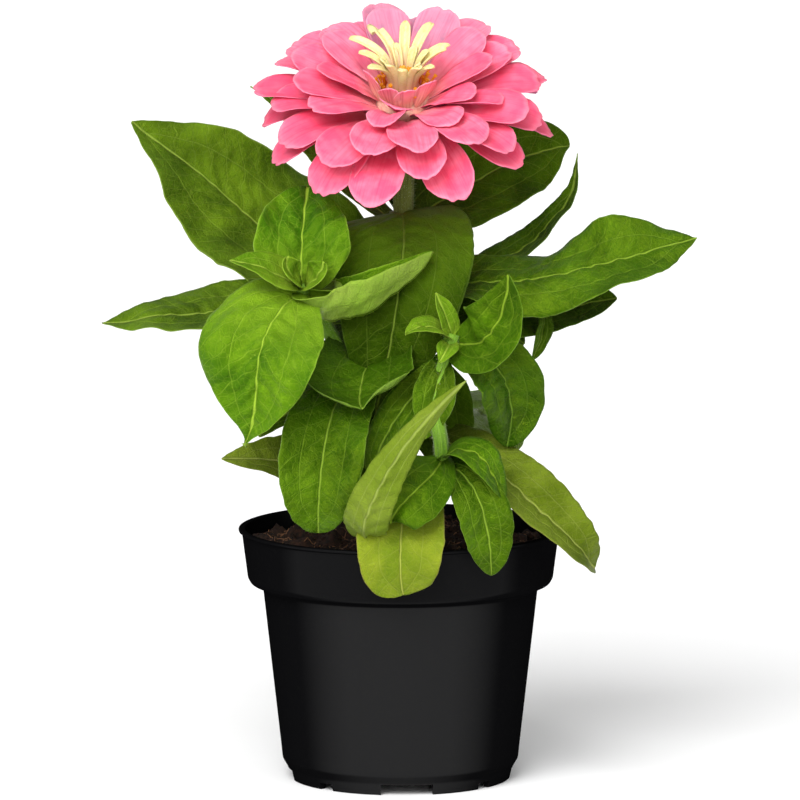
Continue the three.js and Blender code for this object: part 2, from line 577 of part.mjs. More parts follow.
// The soil's top: low clods, higher at the left, level where it meets the wall.
function soilHeight(x, y) {
  const clods = Math.sin(0.23 * x + 1) * Math.cos(0.21 * y) + 0.5 * Math.sin(0.19 * y + 0.27 * x + 2);
  return SOIL_LEVEL + SOIL_BUMP * clods - 0.012 * x;
}

function soil() {
  const [lip, ledge, ...below] = potInside();
  const edgeLevel = SOIL_LEVEL - 2;
  const edge = ledge[0] + ((lip[0] - ledge[0]) * (edgeLevel - ledge[1])) / (lip[1] - ledge[1]);
  const profile = [
    ...[ledge, ...below].reverse().map(([r, z]) => [Math.max(0, r - 1.5 * CLEARANCE), z + CLEARANCE]),
    [edge - 1.5 * CLEARANCE, edgeLevel],
    ...[51, 40, 29, 17, 0].map((r) => [r, SOIL_LEVEL]),
  ];
  const geometry = latheOf(profile, POT_SEGMENTS);
  const position = geometry.attributes.position;
  for (let i = 0; i < position.count; i += 1) {
    if (position.getZ(i) > SOIL_LEVEL - 1) {
      position.setZ(i, soilHeight(position.getX(i), position.getY(i)));
    }
  }
  let solid = solidFrom(geometry);
  for (const [x, y, radius] of STEM_HOLES) {
    const reach = radius + STEM_HOLE_ROOM;
    const hole = new THREE.CylinderGeometry(reach, reach, SOIL_LEVEL, 12).rotateX(Math.PI / 2);
    hole.translate(x, y, STEM_FOOT - CLEARANCE + SOIL_LEVEL / 2);
    solid = solid.subtract(solidFrom(hole));
  }
  return joined([solid]);
}

const FINISHES = {
  pot: { color: 0x1b1b1c, roughness: 0.42, metalness: 0 },
  soil: { color: 0x3a2417, roughness: 0.95, metalness: 0 },
  leaf: { color: 0x3f7a1e, roughness: 0.45, metalness: 0 },
  petal: { color: 0xf56a92, roughness: 0.6, metalness: 0 },
  cream: { color: 0xf0e7a0, roughness: 0.6, metalness: 0 },
  orange: { color: 0xf0900f, roughness: 0.6, metalness: 0 },
};

function piece(name, geometry, finish) {
  const mesh = new THREE.Mesh(geometry, new THREE.MeshStandardMaterial(FINISHES[finish]));
  mesh.name = name;
  return mesh;
}

const group = new THREE.Group();
group.add(piece("pot", pot(), "pot"));
group.add(piece("soil", soil(), "soil"));
group.add(piece("main_stem", mainStem(), "leaf"));
group.add(piece("right_shoot", rightShoot(), "leaf"));
group.add(piece("low_shoot", lowShoot(), "leaf"));
group.add(piece("ray_petals", rayPetals(), "petal"));
group.add(piece("cream_florets", creamFlorets(), "cream"));
group.add(piece("disc_florets", discFlorets(), "orange"));

export default group;
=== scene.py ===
# A pink zinnia in bloom, growing in a plastic nursery pot, dressed over its packed solids.
import math
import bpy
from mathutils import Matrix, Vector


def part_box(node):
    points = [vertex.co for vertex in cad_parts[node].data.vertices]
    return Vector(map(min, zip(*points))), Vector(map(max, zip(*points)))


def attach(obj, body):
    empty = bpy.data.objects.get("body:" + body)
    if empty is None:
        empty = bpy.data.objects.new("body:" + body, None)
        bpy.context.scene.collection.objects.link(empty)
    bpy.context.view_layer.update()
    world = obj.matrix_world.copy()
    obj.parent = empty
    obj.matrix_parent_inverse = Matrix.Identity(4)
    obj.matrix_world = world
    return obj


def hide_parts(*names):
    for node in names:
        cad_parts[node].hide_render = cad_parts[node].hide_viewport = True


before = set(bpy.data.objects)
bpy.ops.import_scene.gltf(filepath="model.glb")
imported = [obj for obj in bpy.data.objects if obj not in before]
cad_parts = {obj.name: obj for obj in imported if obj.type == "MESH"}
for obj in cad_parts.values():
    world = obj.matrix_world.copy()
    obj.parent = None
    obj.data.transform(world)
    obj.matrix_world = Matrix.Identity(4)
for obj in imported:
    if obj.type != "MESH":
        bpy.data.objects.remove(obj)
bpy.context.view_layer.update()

from types import SimpleNamespace

import bmesh
import bpy
import numpy as np
from bpy.props import FloatProperty, FloatVectorProperty, IntProperty, PointerProperty
from bpy.types import Operator, Panel, PropertyGroup
from mathutils import Vector, noise

bl_info = {
    "name": "Potted zinnia",
    "version": (1, 0, 0),
    "blender": (4, 5, 0),
    "location": "View3D > Sidebar > Zinnia",
    "description": "Grows fine petals, leaves, stems, soil and a moulded pot over the packed solids",
    "category": "Add Mesh",
}

BODY = "root"
MM = 0.001


def linear(code):
    """A colour written as sRGB hex, as the linear numbers that shaders and colour properties hold."""
    shares = [int(code[i : i + 2], 16) / 255 for i in (1, 3, 5)]
    return tuple(c / 12.92 if c <= 0.04045 else ((c + 0.055) / 1.055) ** 2.4 for c in shares)


# Sizes below are in millimetres, and meshes are turned to metres where they are made.
POT_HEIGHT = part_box("pot")[1].z / MM
LIP_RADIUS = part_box("pot")[1].x / MM
LIP_DEPTH = 1.4
COLLAR_TOP_RADIUS = 58.8
COLLAR_LOW_RADIUS = 56.8
COLLAR_HEIGHT = 21.0
BODY_TOP_RADIUS = 51.0
BODY_LOW_RADIUS = 44.0
FOOT_RADIUS = 41.0
FOOT_WIDTH = 2.6
FOOT_HEIGHT = 4.2
FOOT_BAND = 4.3
CHAMFER_TOP = 7.4
BODY_LOW = 11.4
POT_WALL = 1.3
NOTCHES = SimpleNamespace(count=8, widths=(19.0, 6.0), depths=(4.0, 2.6), turn=0.06)
DRAIN_HOLES = SimpleNamespace(count=6, radius=3.6, circle=27.0)
SHOULDER = POT_HEIGHT - COLLAR_HEIGHT
FLOOR_TOP = FOOT_HEIGHT + POT_WALL
FOOT_INNER = FOOT_RADIUS - FOOT_WIDTH
LEDGE_RADIUS = COLLAR_LOW_RADIUS - POT_WALL - 0.4
LEDGE_RISE = 3.2
# The pot's inner face, as radius and height, from the middle of the floor up to the collar's ledge.
POT_INSIDE = [
    (0, FLOOR_TOP), (FOOT_INNER + 2, FLOOR_TOP), (BODY_LOW_RADIUS + 0.2 - POT_WALL, BODY_LOW),
    (BODY_TOP_RADIUS - POT_WALL, SHOULDER), (LEDGE_RADIUS, SHOULDER + LEDGE_RISE),
]

CLEARANCE = 0.3
SOIL_LEVEL = 87.5
SOIL_BUMP = 2.0
STEM_FOOT = 62.0
MAIN_STEM_RADIUS = 4.6
SIDE_STEM_RADIUS = 2.7
TWIG_RADIUS = 1.6
PEDUNCLE_RADIUS = 3.8

BLOOM_CENTRE = np.array([1.0, -6.0, 251.0])
CORE_RADIUS = 11.0
CORE_LOW = -8.0
CORE_TOP = 5.0
UP = np.array([0.0, 0.0, 1.0])

# Seeds of the random draws, so that each run grows the same plant. The draws of petals, cream
# florets and disc florets are those of the solids, and the others only shape fine detail.
PETAL_DRAW, CREAM_DRAW, DISC_DRAW = 11, 23, 5
LEAF_SEED, PETAL_SEED, STRAP_SEED, FLORET_SEED, CRUMB_SEED = 100, 500, 700, 900, 41
# The number of each shoot's first leaf, which is added to the seed of leaves.
MAIN_FIRST, ROSETTE_FIRST, RIGHT_FIRST, LOW_FIRST = 0, 30, 40, 60
HAIR_RADIUS = 0.045

# Fineness of the meshes: facets round each turned shape, steps along a span of stem, and rows and
# columns of the small blades, which are twice HALF_BLADE thick.
SOIL_RINGS, SOIL_FACETS = 52, 150
BASE_FACETS, CORE_FACETS, FLORET_FACETS, HOLE_FACETS = 40, 48, 20, 32
STEM_STEPS = 26
BRACT_GRID, STRAP_GRID = (8, 6), (18, 8)
HALF_BLADE = 0.3
SHARP_ANGLE = math.radians(38)


def leaf(points, width, face, tone, **shape):
    """A leaf: midrib points from root to tip, greatest width, the way its upper face looks, and tone."""
    usual = {
        "fold": 0.12, "curl": (0.1, 0.1), "taper": 0.85, "widest": 0.45, "base": 0.35,
        "wave": 0.0, "waves": 2.0, "phase": 0.5, "puff": 0.7,
    }
    return SimpleNamespace(points=points, width=width, face=face, tone=tone, **{**usual, **shape})


# Leaves of each shoot. They follow the solids' blades, and are puffed and waved more finely.
MAIN_LEAVES = [
    leaf([(-2, 1, 164), (-34, 22, 188), (-67, 34, 215), (-100, 38, 241)], 57, [(0.25, -0.8, 0.55)],
         "mature", curl=(0.2, 0.2), taper=0.95, base=0.5, wave=4, waves=2.5, phase=1),
    leaf([(-3, 0, 180), (-38, -4, 176), (-75, -12, 175), (-110, -8, 171)], 30,
         [(0, -0.62, 0.78), (0, -0.6, 0.8), (-0.5, -0.3, 0.8)], "mature", curl=(0.1, -0.1), wave=2),
    # Its darker tone is painted shade: this leaf lies under the bloom.
    leaf([(0, -3, 211), (1, -23, 199), (-3, -31, 170), (-11, -23, 132)], 52,
         [(0, -0.7, 0.7), (0, -0.9, 0.4), (0, -1, 0.1)], "sheltered",
         fold=0.08, curl=(-0.2, -0.2), taper=1, widest=0.3, base=0.75, wave=2, waves=1.5),
    leaf([(1, 3, 207), (20, 18, 216), (43, 28, 227), (63, 30, 232)], 35, [(0.1, -0.85, 0.5)],
         "shaded", taper=0.6, widest=0.5, base=0.6, wave=2),
    leaf([(2, 2, 178), (31, 12, 189), (55, 25, 203), (66, 36, 229)], 15, [(-0.3, -0.5, 0.8)],
         "shaded", taper=1.4, fold=0.2),
    leaf([(2, -2, 190), (42, -14, 187), (78, -18, 195), (109, -14, 203)], 34,
         [(0, -0.5, 0.85), (0, -0.6, 0.8), (0, -0.8, 0.6)], "leafy", curl=(0, -0.2), widest=0.62,
         taper=1.2, wave=6, waves=1.67, phase=0.3),
    leaf([(3, 1, 160), (30, 4, 170), (57, 3, 175), (80, 0, 179)], 28, [(0, -0.7, 0.7)], "shaded",
         taper=0.8, widest=0.55),
    leaf([(51, -1, 177), (52, -8, 168), (48, -10, 157)], 8, [(0.5, -0.8, 0.2)], "shaded", fold=0.3),
    leaf([(20, 4, 158), (33, 2, 167), (46, 0, 162)], 20, [(0, -0.7, 0.7)], "shaded"),
    leaf([(-3, -3, 153), (-22, -34, 148), (-29, -54, 122), (-30, -52, 99)], 32,
         [(0, -0.5, 0.86), (-0.05, -0.9, 0.4), (-0.05, -0.98, 0.1)], "leafy",
         curl=(0.15, 0.15), taper=0.8, widest=0.6, base=0.3, wave=1.5),
    leaf([(-2, -3, 172), (-12, -29, 158), (-15, -44, 149), (-14, -54, 146)], 44,
         [(-0.1, -0.5, 0.86), (-0.15, -0.6, 0.75)], "leafy", fold=0.15, curl=(0.5, 0.9), taper=0.3,
         widest=0.6),
    leaf([(4, -4, 130), (30, -32, 123), (55, -49, 104), (72, -44, 85)], 25,
         [(0.3, -0.6, 0.75), (0.3, -0.75, 0.55)], "olive", fold=0.35, curl=(0.2, 0.1), taper=0.6,
         widest=0.5),
    leaf([(-4, -1, 112), (-35, -8, 119), (-66, -14, 121)], 20, [(0, -0.8, 0.6)], "olive", wave=2,
         waves=1.5),
    leaf([(3, -1, 150), (13, -11, 140), (17, -15, 113)], 28, [(0.2, -0.95, 0.2)], "shaded", taper=0.7),
    leaf([(-3, -2, 138), (-30, -14, 143), (-52, -20, 130)], 14, [(0, -0.7, 0.7)], "shaded"),
    leaf([(-3, -3, 140), (-12, -24, 138), (-17, -34, 124), (-20, -35, 108)], 26,
         [(0.1, -0.6, 0.8), (0.1, -0.95, 0.3)], "shaded", taper=0.7, widest=0.6),
    leaf([(-2, 2, 207), (-22, 24, 223), (-37, 34, 239), (-56, 36, 254)], 13, [(0.2, -0.85, 0.5)],
         "mature", taper=1.1, widest=0.4),
    leaf([(0, 3, 186), (4, 26, 192), (6, 48, 182), (4, 62, 166)], 34,
         [(0, 0.4, 0.9), (0.1, 0.9, 0.4)], "mature", wave=2),
    leaf([(0, 3, 150), (-16, 24, 156), (-30, 44, 146), (-36, 58, 128)], 34,
         [(0, 0.3, 0.95), (-0.2, 0.8, 0.5)], "mature", wave=2),
    leaf([(0, 3, 134), (18, 22, 138), (34, 42, 128), (42, 54, 112)], 30,
         [(0, 0.3, 0.95), (0.3, 0.8, 0.5)], "leafy", wave=1.5),
    leaf([(0, 3, 116), (-8, 32, 122), (-12, 60, 114), (-13, 76, 99)], 26,
         [(0, 0.3, 0.95), (0, 0.9, 0.4)], "olive", taper=0.7),
]

SIDE_SHOOT_LEAVES = [
    leaf([(-36, -35, 186), (-36, -32, 204), (-34, -16, 223)], 37, [(0, -0.95, 0.3), (0, -0.9, 0.4)],
         "fresh", fold=0.15, curl=(0.3, 0.3), taper=0.7, wave=1, puff=1.5),
    leaf([(-36, -37, 186), (-49, -52, 171), (-53, -58, 151), (-56, -50, 132)], 46,
         [(-0.1, -0.75, 0.65), (-0.15, -0.9, 0.4), (-0.2, -0.97, 0.05)], "fresh",
         curl=(0.1, -0.1), taper=1.45, widest=0.38, base=0.4, wave=2, waves=2.5, puff=1.3),
    leaf([(-37, -37, 188), (-49, -44, 195), (-62, -48, 199)], 15, [(0.1, -0.7, 0.7)], "lime",
         fold=0.3, taper=1, widest=0.35),
    leaf([(-34, -37, 186), (-25, -41, 177), (-8, -39, 182), (12, -30, 200)], 34, [(-0.3, 0.1, 0.95)],
         "fresh", fold=0.5, curl=(1.2, 0.5), taper=0.8, widest=0.5),
    leaf([(-36, -37, 188), (-40, -44, 194), (-41, -46, 200)], 11, [(0.2, -0.7, 0.7)], "lime", fold=0.3),
    leaf([(-35, -37, 188), (-31, -43, 193), (-28, -44, 198)], 12, [(-0.2, -0.7, 0.7)], "lime", fold=0.3),
]

RIGHT_SHOOT_LEAVES = [
    leaf([(19, -36, 168), (32, -48, 172), (39, -50, 194)], 27, [(-0.3, -0.9, 0.3)], "lush",
         taper=0.95, base=0.4, puff=1.2),
    leaf([(19, -36, 168), (17, -38, 176), (13, -40, 186)], 9, [(0.3, -0.9, 0.3)], "lime", fold=0.3),
    leaf([(19, -37, 169), (10, -44, 174), (2, -48, 171)], 11, [(0, -0.6, 0.8)], "lime", fold=0.2),
    leaf([(18, -37, 167), (17, -44, 166), (14, -46, 161)], 8, [(0, -0.9, 0.3)], "lime", fold=0.2),
    leaf([(18, -36, 165), (38, -38, 155), (39, -32, 128)], 26, [(0.3, -0.9, 0.3)], "glossy",
         curl=(0.2, 0.2), taper=0.6, widest=0.6, puff=1),
    leaf([(14, -40, 160), (-3, -41, 138), (-11, -39, 117)], 15, [(-0.4, -0.85, 0.3)], "leafy"),
    leaf([(15, -39, 161), (12, -44, 147), (9, -46, 133)], 17, [(0, -0.95, 0.3)], "leafy",
         fold=0.25, curl=(0.3, 0.3), base=0.4),
    leaf([(15, -48, 127), (10, -62, 121), (1, -69, 113), (-3, -69, 105)], 24,
         [(0.1, -0.8, 0.6), (0.1, -0.97, 0.2)], "lush", curl=(-0.1, -0.1), taper=0.6, widest=0.55,
         base=0.25, puff=1),
    leaf([(15, -47, 125), (27, -60, 116), (32, -62, 100), (33, -58, 85)], 20,
         [(0.1, -0.8, 0.6), (0.1, -0.98, 0.1)], "leafy", taper=0.75, widest=0.5, base=0.4),
    leaf([(15, -48, 127), (25, -60, 131), (33, -62, 124), (37, -58, 111)], 15,
         [(0, -0.6, 0.8), (0.6, -0.6, 0.5)], "lush", taper=0.8, widest=0.4, base=0.5, puff=0.8),
]

LOW_SHOOT_LEAVES = [
    leaf([(-5, -38, 100), (-13, -71, 104), (-3, -77, 128), (24, -63, 157)], 17, [(0.2, 0.95, 0.2)],
         "turned", curl=(0.2, 0.2), taper=1, widest=0.4),
    leaf([(1, -41, 118), (1, -57, 110), (0, -67, 95), (1, -66, 79)], 32,
         [(0, -0.8, 0.6), (0, -0.95, 0.3), (0, -1, 0)], "yellowing", fold=0.08, taper=0.34,
         widest=0.6, base=0.5),
]

MAIN_STEM = [(0, 0, STEM_FOOT), (0, 0, 90), (-1, 0, 141), (1, 0, 211)]
PEDUNCLE = [(1, 0, 206), (1, 2, 222), (1, 1, 237)]
SIDE_SHOOT_STEM = [(-1, -1, 134), (-22, -22, 163), (-36, -36, 188)]
BACK_TWIG = [(1, 0, 148), (30, 6, 166), (51, -1, 178)]
RIGHT_STEM = [(9, -20, STEM_FOOT), (9, -20, 78), (9, -21, 94), (15, -48, 127), (13, -42, 147), (19, -36, 170)]
LOW_STEM = [(-5, -30, STEM_FOOT), (-5, -30, 78), (-5, -31, 94), (-3, -37, 106), (1, -42, 119)]
STEM_HOLES = [(0, 0, MAIN_STEM_RADIUS), (9, -20, SIDE_STEM_RADIUS), (-5, -30, SIDE_STEM_RADIUS)]

# Petals, lowest layer first: where each points, in degrees round from the front, then how far its
# tip is and how high it points, in front and behind, its arch, its root's height, and its width.
PETAL_LAYERS = [
    SimpleNamespace(turns=(-62, -36, -13, 22, 54, 86, 116, 148, 179, -150, -119, -90), reach=(57, 54.5),
                    rise=(-9, -9), arch=6, root=-6.5, width=19.5),
    SimpleNamespace(turns=(-94, -57, -34, 11, 46, 76, 107, 135, 165, -162, -130), reach=(53, 55.5),
                    rise=(2, 2), arch=5, root=-4.5, width=19),
    SimpleNamespace(turns=(-78, -17, 6, 34, 64, 94, 122, 150, 179, -147, -112), reach=(49, 51),
                    rise=(11, 8), arch=4, root=-2, width=19),
    SimpleNamespace(turns=(-81, -58, -14, 29, 63, 112, 139, 164, -170, -140, -107), reach=(35, 48),
                    rise=(19, 17), arch=2.5, root=0.5, width=17.5),
    SimpleNamespace(turns=(-12, 58, 94, 126, 156, -170, -128, -90), reach=(25, 42.5), rise=(28, 29),
                    arch=1, root=2.5, width=17),
    SimpleNamespace(turns=(-66, -24, 8, 40), reach=(21, 25), rise=(50, 54), arch=-1, root=3.5,
                    width=10.5),
]

# Rows of bracts: how many, the height and radius where they start, the height of their tips, width.
BRACT_ROWS = ((9, -19.5, 3.4, -12.0, 7.2), (11, -17.5, 5.2, -9.8, 6.6), (13, -15.0, 7.2, -8.6, 5.6))

DISC = SimpleNamespace(radius=8.2, low=CORE_TOP + CLEARANCE, height=1.2, crown=0.3, boss=3.0, boss_height=2.4)
DISC_RINGS = [
    SimpleNamespace(count=9, circle=7.4, lean=10, height=5.0, radius=0.8),
    SimpleNamespace(count=4, circle=1.4, lean=5, height=9.0, radius=0.9),
    SimpleNamespace(count=14, circle=7.9, lean=34, height=6.5, radius=0.5),
    SimpleNamespace(count=11, circle=6.7, lean=20, height=8.5, radius=0.55),
]
# A disc floret's outline, as shares of its radius and height: a tube that flares, and its pollen tip.
FLORET_PROFILE = (
    (0, 0), (0.62, 0), (0.6, 0.55), (0.95, 0.85), (1.35, 1), (0.75, 0.9), (0.35, 0.95), (0, 1.02),
)
CREAM_RING = SimpleNamespace(
    inner=3.5, outer=6.2, low=DISC.low + DISC.height + DISC.crown + CLEARANCE, height=1.4
)
# The straps lean up to this share further on the left of the bloom.
LEFT_SPREAD = 0.28
CREAM_RINGS = [
    SimpleNamespace(count=12, circle=5.4, lean=(12, 42), height=(14, 24), width=4.4),
    SimpleNamespace(count=7, circle=4.4, lean=(8, 18), height=(13, 16), width=3.6),
]

# Softboxes: where each stands, in metres, how wide it looks, in degrees, and its strength.
LAMPS = {
    "lamp_key": ((-0.5, -1.2, 1.05), 42, 3.3),
    "lamp_fill": ((1.0, -1.2, 1.0), 90, 0.4),
    "lamp_front": ((0.15, -1.6, 0.35), 80, 2.0),
}
SKY_STRENGTH = 0.38
FLOOR_REACH = 12.0


class PotSettings(PropertyGroup):
    """Mesh and colour of the nursery pot."""

    segments: IntProperty(name="Segments", description="Facets round the pot", default=160, min=48)
    fillet: FloatProperty(
        name="Fillet", description="Rounding of the mould's edges", default=0.0006, unit="LENGTH"
    )
    colour: FloatVectorProperty(
        name="Plastic", description="Colour of the plastic", subtype="COLOR", default=linear("#0a0a0b")
    )


class SoilSettings(PropertyGroup):
    """Texture and colours of the potting soil."""

    clods: IntProperty(name="Clods", description="Loose crumbs on the surface", default=420)
    fibres: IntProperty(name="Fibres", description="Loose peat fibres", default=320)
    roughness: FloatProperty(
        name="Roughness", description="Height of the surface's lumps", default=0.0016, unit="LENGTH"
    )
    dark: FloatVectorProperty(
        name="Damp", description="Colour in the hollows", subtype="COLOR", default=linear("#0d0704")
    )
    light: FloatVectorProperty(
        name="Dry", description="Colour on the crumbs", subtype="COLOR", default=linear("#2e1a10")
    )


class FoliageSettings(PropertyGroup):
    """Fineness, thickness and hairs of leaves and stems."""

    pitch: FloatProperty(
        name="Pitch", description="Spacing of a leaf's mesh", default=0.0013, unit="LENGTH", precision=4
    )
    thickness: FloatProperty(
        name="Thickness", description="Thickness of a leaf", default=0.00045, unit="LENGTH", precision=5
    )
    hairs: IntProperty(name="Hairs", description="Hairs per square centimetre of stem", default=85)


class BloomSettings(PropertyGroup):
    """Lean, mesh and colours of the flower head."""

    lean: FloatProperty(
        name="Lean", description="Lean of the head towards the front", default=math.radians(27),
        subtype="ANGLE",
    )
    thickness: FloatProperty(
        name="Thickness", description="Thickness of a petal", default=0.0004, unit="LENGTH", precision=5
    )
    rows: IntProperty(name="Rows", description="Mesh rows along a petal", default=30)
    columns: IntProperty(name="Columns", description="Mesh columns across a petal", default=18)
    coral: FloatVectorProperty(
        name="Coral", description="Colour of the front petals", subtype="COLOR", default=linear("#fc587b")
    )
    pink: FloatVectorProperty(
        name="Pink", description="Colour of the back petals", subtype="COLOR", default=linear("#b87c96")
    )
    # Painted shade: the deeper colour given to petals that point to the sides.
    side_shade_rose: FloatVectorProperty(
        name="Rose", description="Colour of the side petals", subtype="COLOR", default=linear("#d6486a")
    )


class StageSettings(PropertyGroup):
    """Camera and lights."""

    camera: FloatVectorProperty(
        name="Camera", description="Where the camera stands", subtype="TRANSLATION", unit="LENGTH",
        default=(-0.00015, -3.0, 0.56),
    )
    tilt: FloatProperty(
        name="Tilt", description="How far the camera looks down", default=math.radians(7.951),
        subtype="ANGLE",
    )
    lens: FloatProperty(name="Lens", description="Focal length in millimetres", default=368.55)
    light: FloatProperty(name="Light", description="Strength of the lamps", default=1.0)


def opaque(colour):
    """A colour with full alpha, from linear numbers or from sRGB hex."""
    return (*(linear(colour) if isinstance(colour, str) else colour)[:3], 1.0)


def add(tree, kind, inputs=(), **settings):
    """Adds a shader node with its settings, and with inputs by name or in the order of those in use.

    A socket is linked, a node is linked by its first output in use, and a hex colour is made linear.
    In order, a MapRange takes its value, from min, from max, to min and to max.
    """
    node = tree.nodes.new("ShaderNode" + kind)
    for name, value in settings.items():
        setattr(node, name, value)
    if isinstance(inputs, dict):
        pairs = [(node.inputs[name], value) for name, value in inputs.items()]
    else:
        pairs = zip([socket for socket in node.inputs if socket.enabled], inputs)
    for socket, value in pairs:
        if isinstance(value, bpy.types.Node):
            value = next(output for output in value.outputs if output.enabled)
        if isinstance(value, bpy.types.NodeSocket):
            tree.links.new(value, socket)
        else:
            socket.default_value = opaque(value) if isinstance(value, str) else value
    return node


def make_material(name, build, *values):
    """A new material, whose shader is made by the build function."""
    made = bpy.data.materials.new(name)
    made.use_nodes = True
    made.node_tree.nodes.clear()
    add(made.node_tree, "OutputMaterial", {"Surface": build(made.node_tree, *values)})
    return made


def shared_material(name, build, *values):
    """A material that is made once and then found by its name."""
    return bpy.data.materials.get(name) or make_material(name, build, *values)


# Colours of living leaf: two of the lamina's upper side, then its veins, margin, underside and root. Towards
# its root the blade takes the root colour: where that is darker than the lamina, as on the mature, shaded,
# leafy, glossy and olive tones, it is painted shade near the leaf's base; where it is lighter, it is the
# leaf's own paler tint.
TONES = {
    "mature": ("#263d06", "#4f6b11", "#798e37", "#6e8337", "#62762f", "#293b06"),
    # Painted shade: the next two tones are darker greens for leaves that lie in shade, the second for the
    # leaf under the bloom.
    "shaded": ("#1b3203", "#395608", "#748932", "#4f6822", "#4d6423", "#0f2003"),
    "sheltered": ("#182e03", "#314d06", "#6c812e", "#4f6822", "#4d6423", "#567416"),
    "leafy": ("#1d3a02", "#3d5f09", "#748f2e", "#5b7826", "#5e7534", "#162c02"),
    "glossy": ("#163203", "#32560a", "#5d7b28", "#44651c", "#516a2a", "#112703"),
    "lush": ("#1d3b03", "#3d6205", "#769128", "#567a1e", "#5a742b", "#385709"),
    "fresh": ("#285307", "#53790e", "#93b138", "#76982e", "#7b9139", "#6a891c"),
    "lime": ("#40660b", "#698a1b", "#8ba539", "#7b9632", "#7d933b", "#778f26"),
    "yellowing": ("#4d6412", "#7a8623", "#959d45", "#7d7a36", "#7e8738", "#8a9334"),
    "olive": ("#3c4c0b", "#647421", "#889247", "#666832", "#646f32", "#333f0c"),
    "turned": ("#536e18", "#70872a", "#98a459", "#6a7b29", "#586c1a", "#7d8d35"),
}
# Roughness and specular level of the cuticle by tone: young and wet-looking leaves shine most.
LEAF_FINISH = {
    "mature": (0.38, 0.32), "shaded": (0.42, 0.24), "sheltered": (0.42, 0.24), "leafy": (0.3, 0.42),
    "glossy": (0.24, 0.5), "lush": (0.3, 0.42), "fresh": (0.32, 0.36), "lime": (0.38, 0.3),
    "yellowing": (0.42, 0.3), "olive": (0.38, 0.36), "turned": (0.44, 0.3),
}
# Arched veins leave the midrib 8.4 mm apart. The net between them is too fine in life to show, so
# it is drawn coarser, with cells 2.6 mm wide.
SECONDARY_SPACING = 8.4
NET_CELL = 2.6
# Colours of the stems' rind: two greens, and the grey of its down. The old stem and the stalk of
# the bloom have the hairy one.
RINDS = {"young": ("#46700f", "#6c9422", "#8fa85c"), "hairy": ("#434c12", "#64702a", "#8c8c66")}
# Colours of the florets: at the root, at the tip, and of the deeper flecks.
CREAM_COLOURS = ("#d9a28c", "#dcd294", "#c6b45f")
ORANGE_COLOURS = ("#c8640a", "#e89a16", "#b04808")


def vein_mask(tree, distance, narrow, wide, strength):
    """How strongly a vein shows by its distance in mm: in full within narrow, not at all past wide."""
    reach = add(tree, "Math", (distance,), operation="ABSOLUTE")
    return add(tree, "MapRange", (reach, narrow, wide, strength, 0.0), interpolation_type="SMOOTHSTEP")


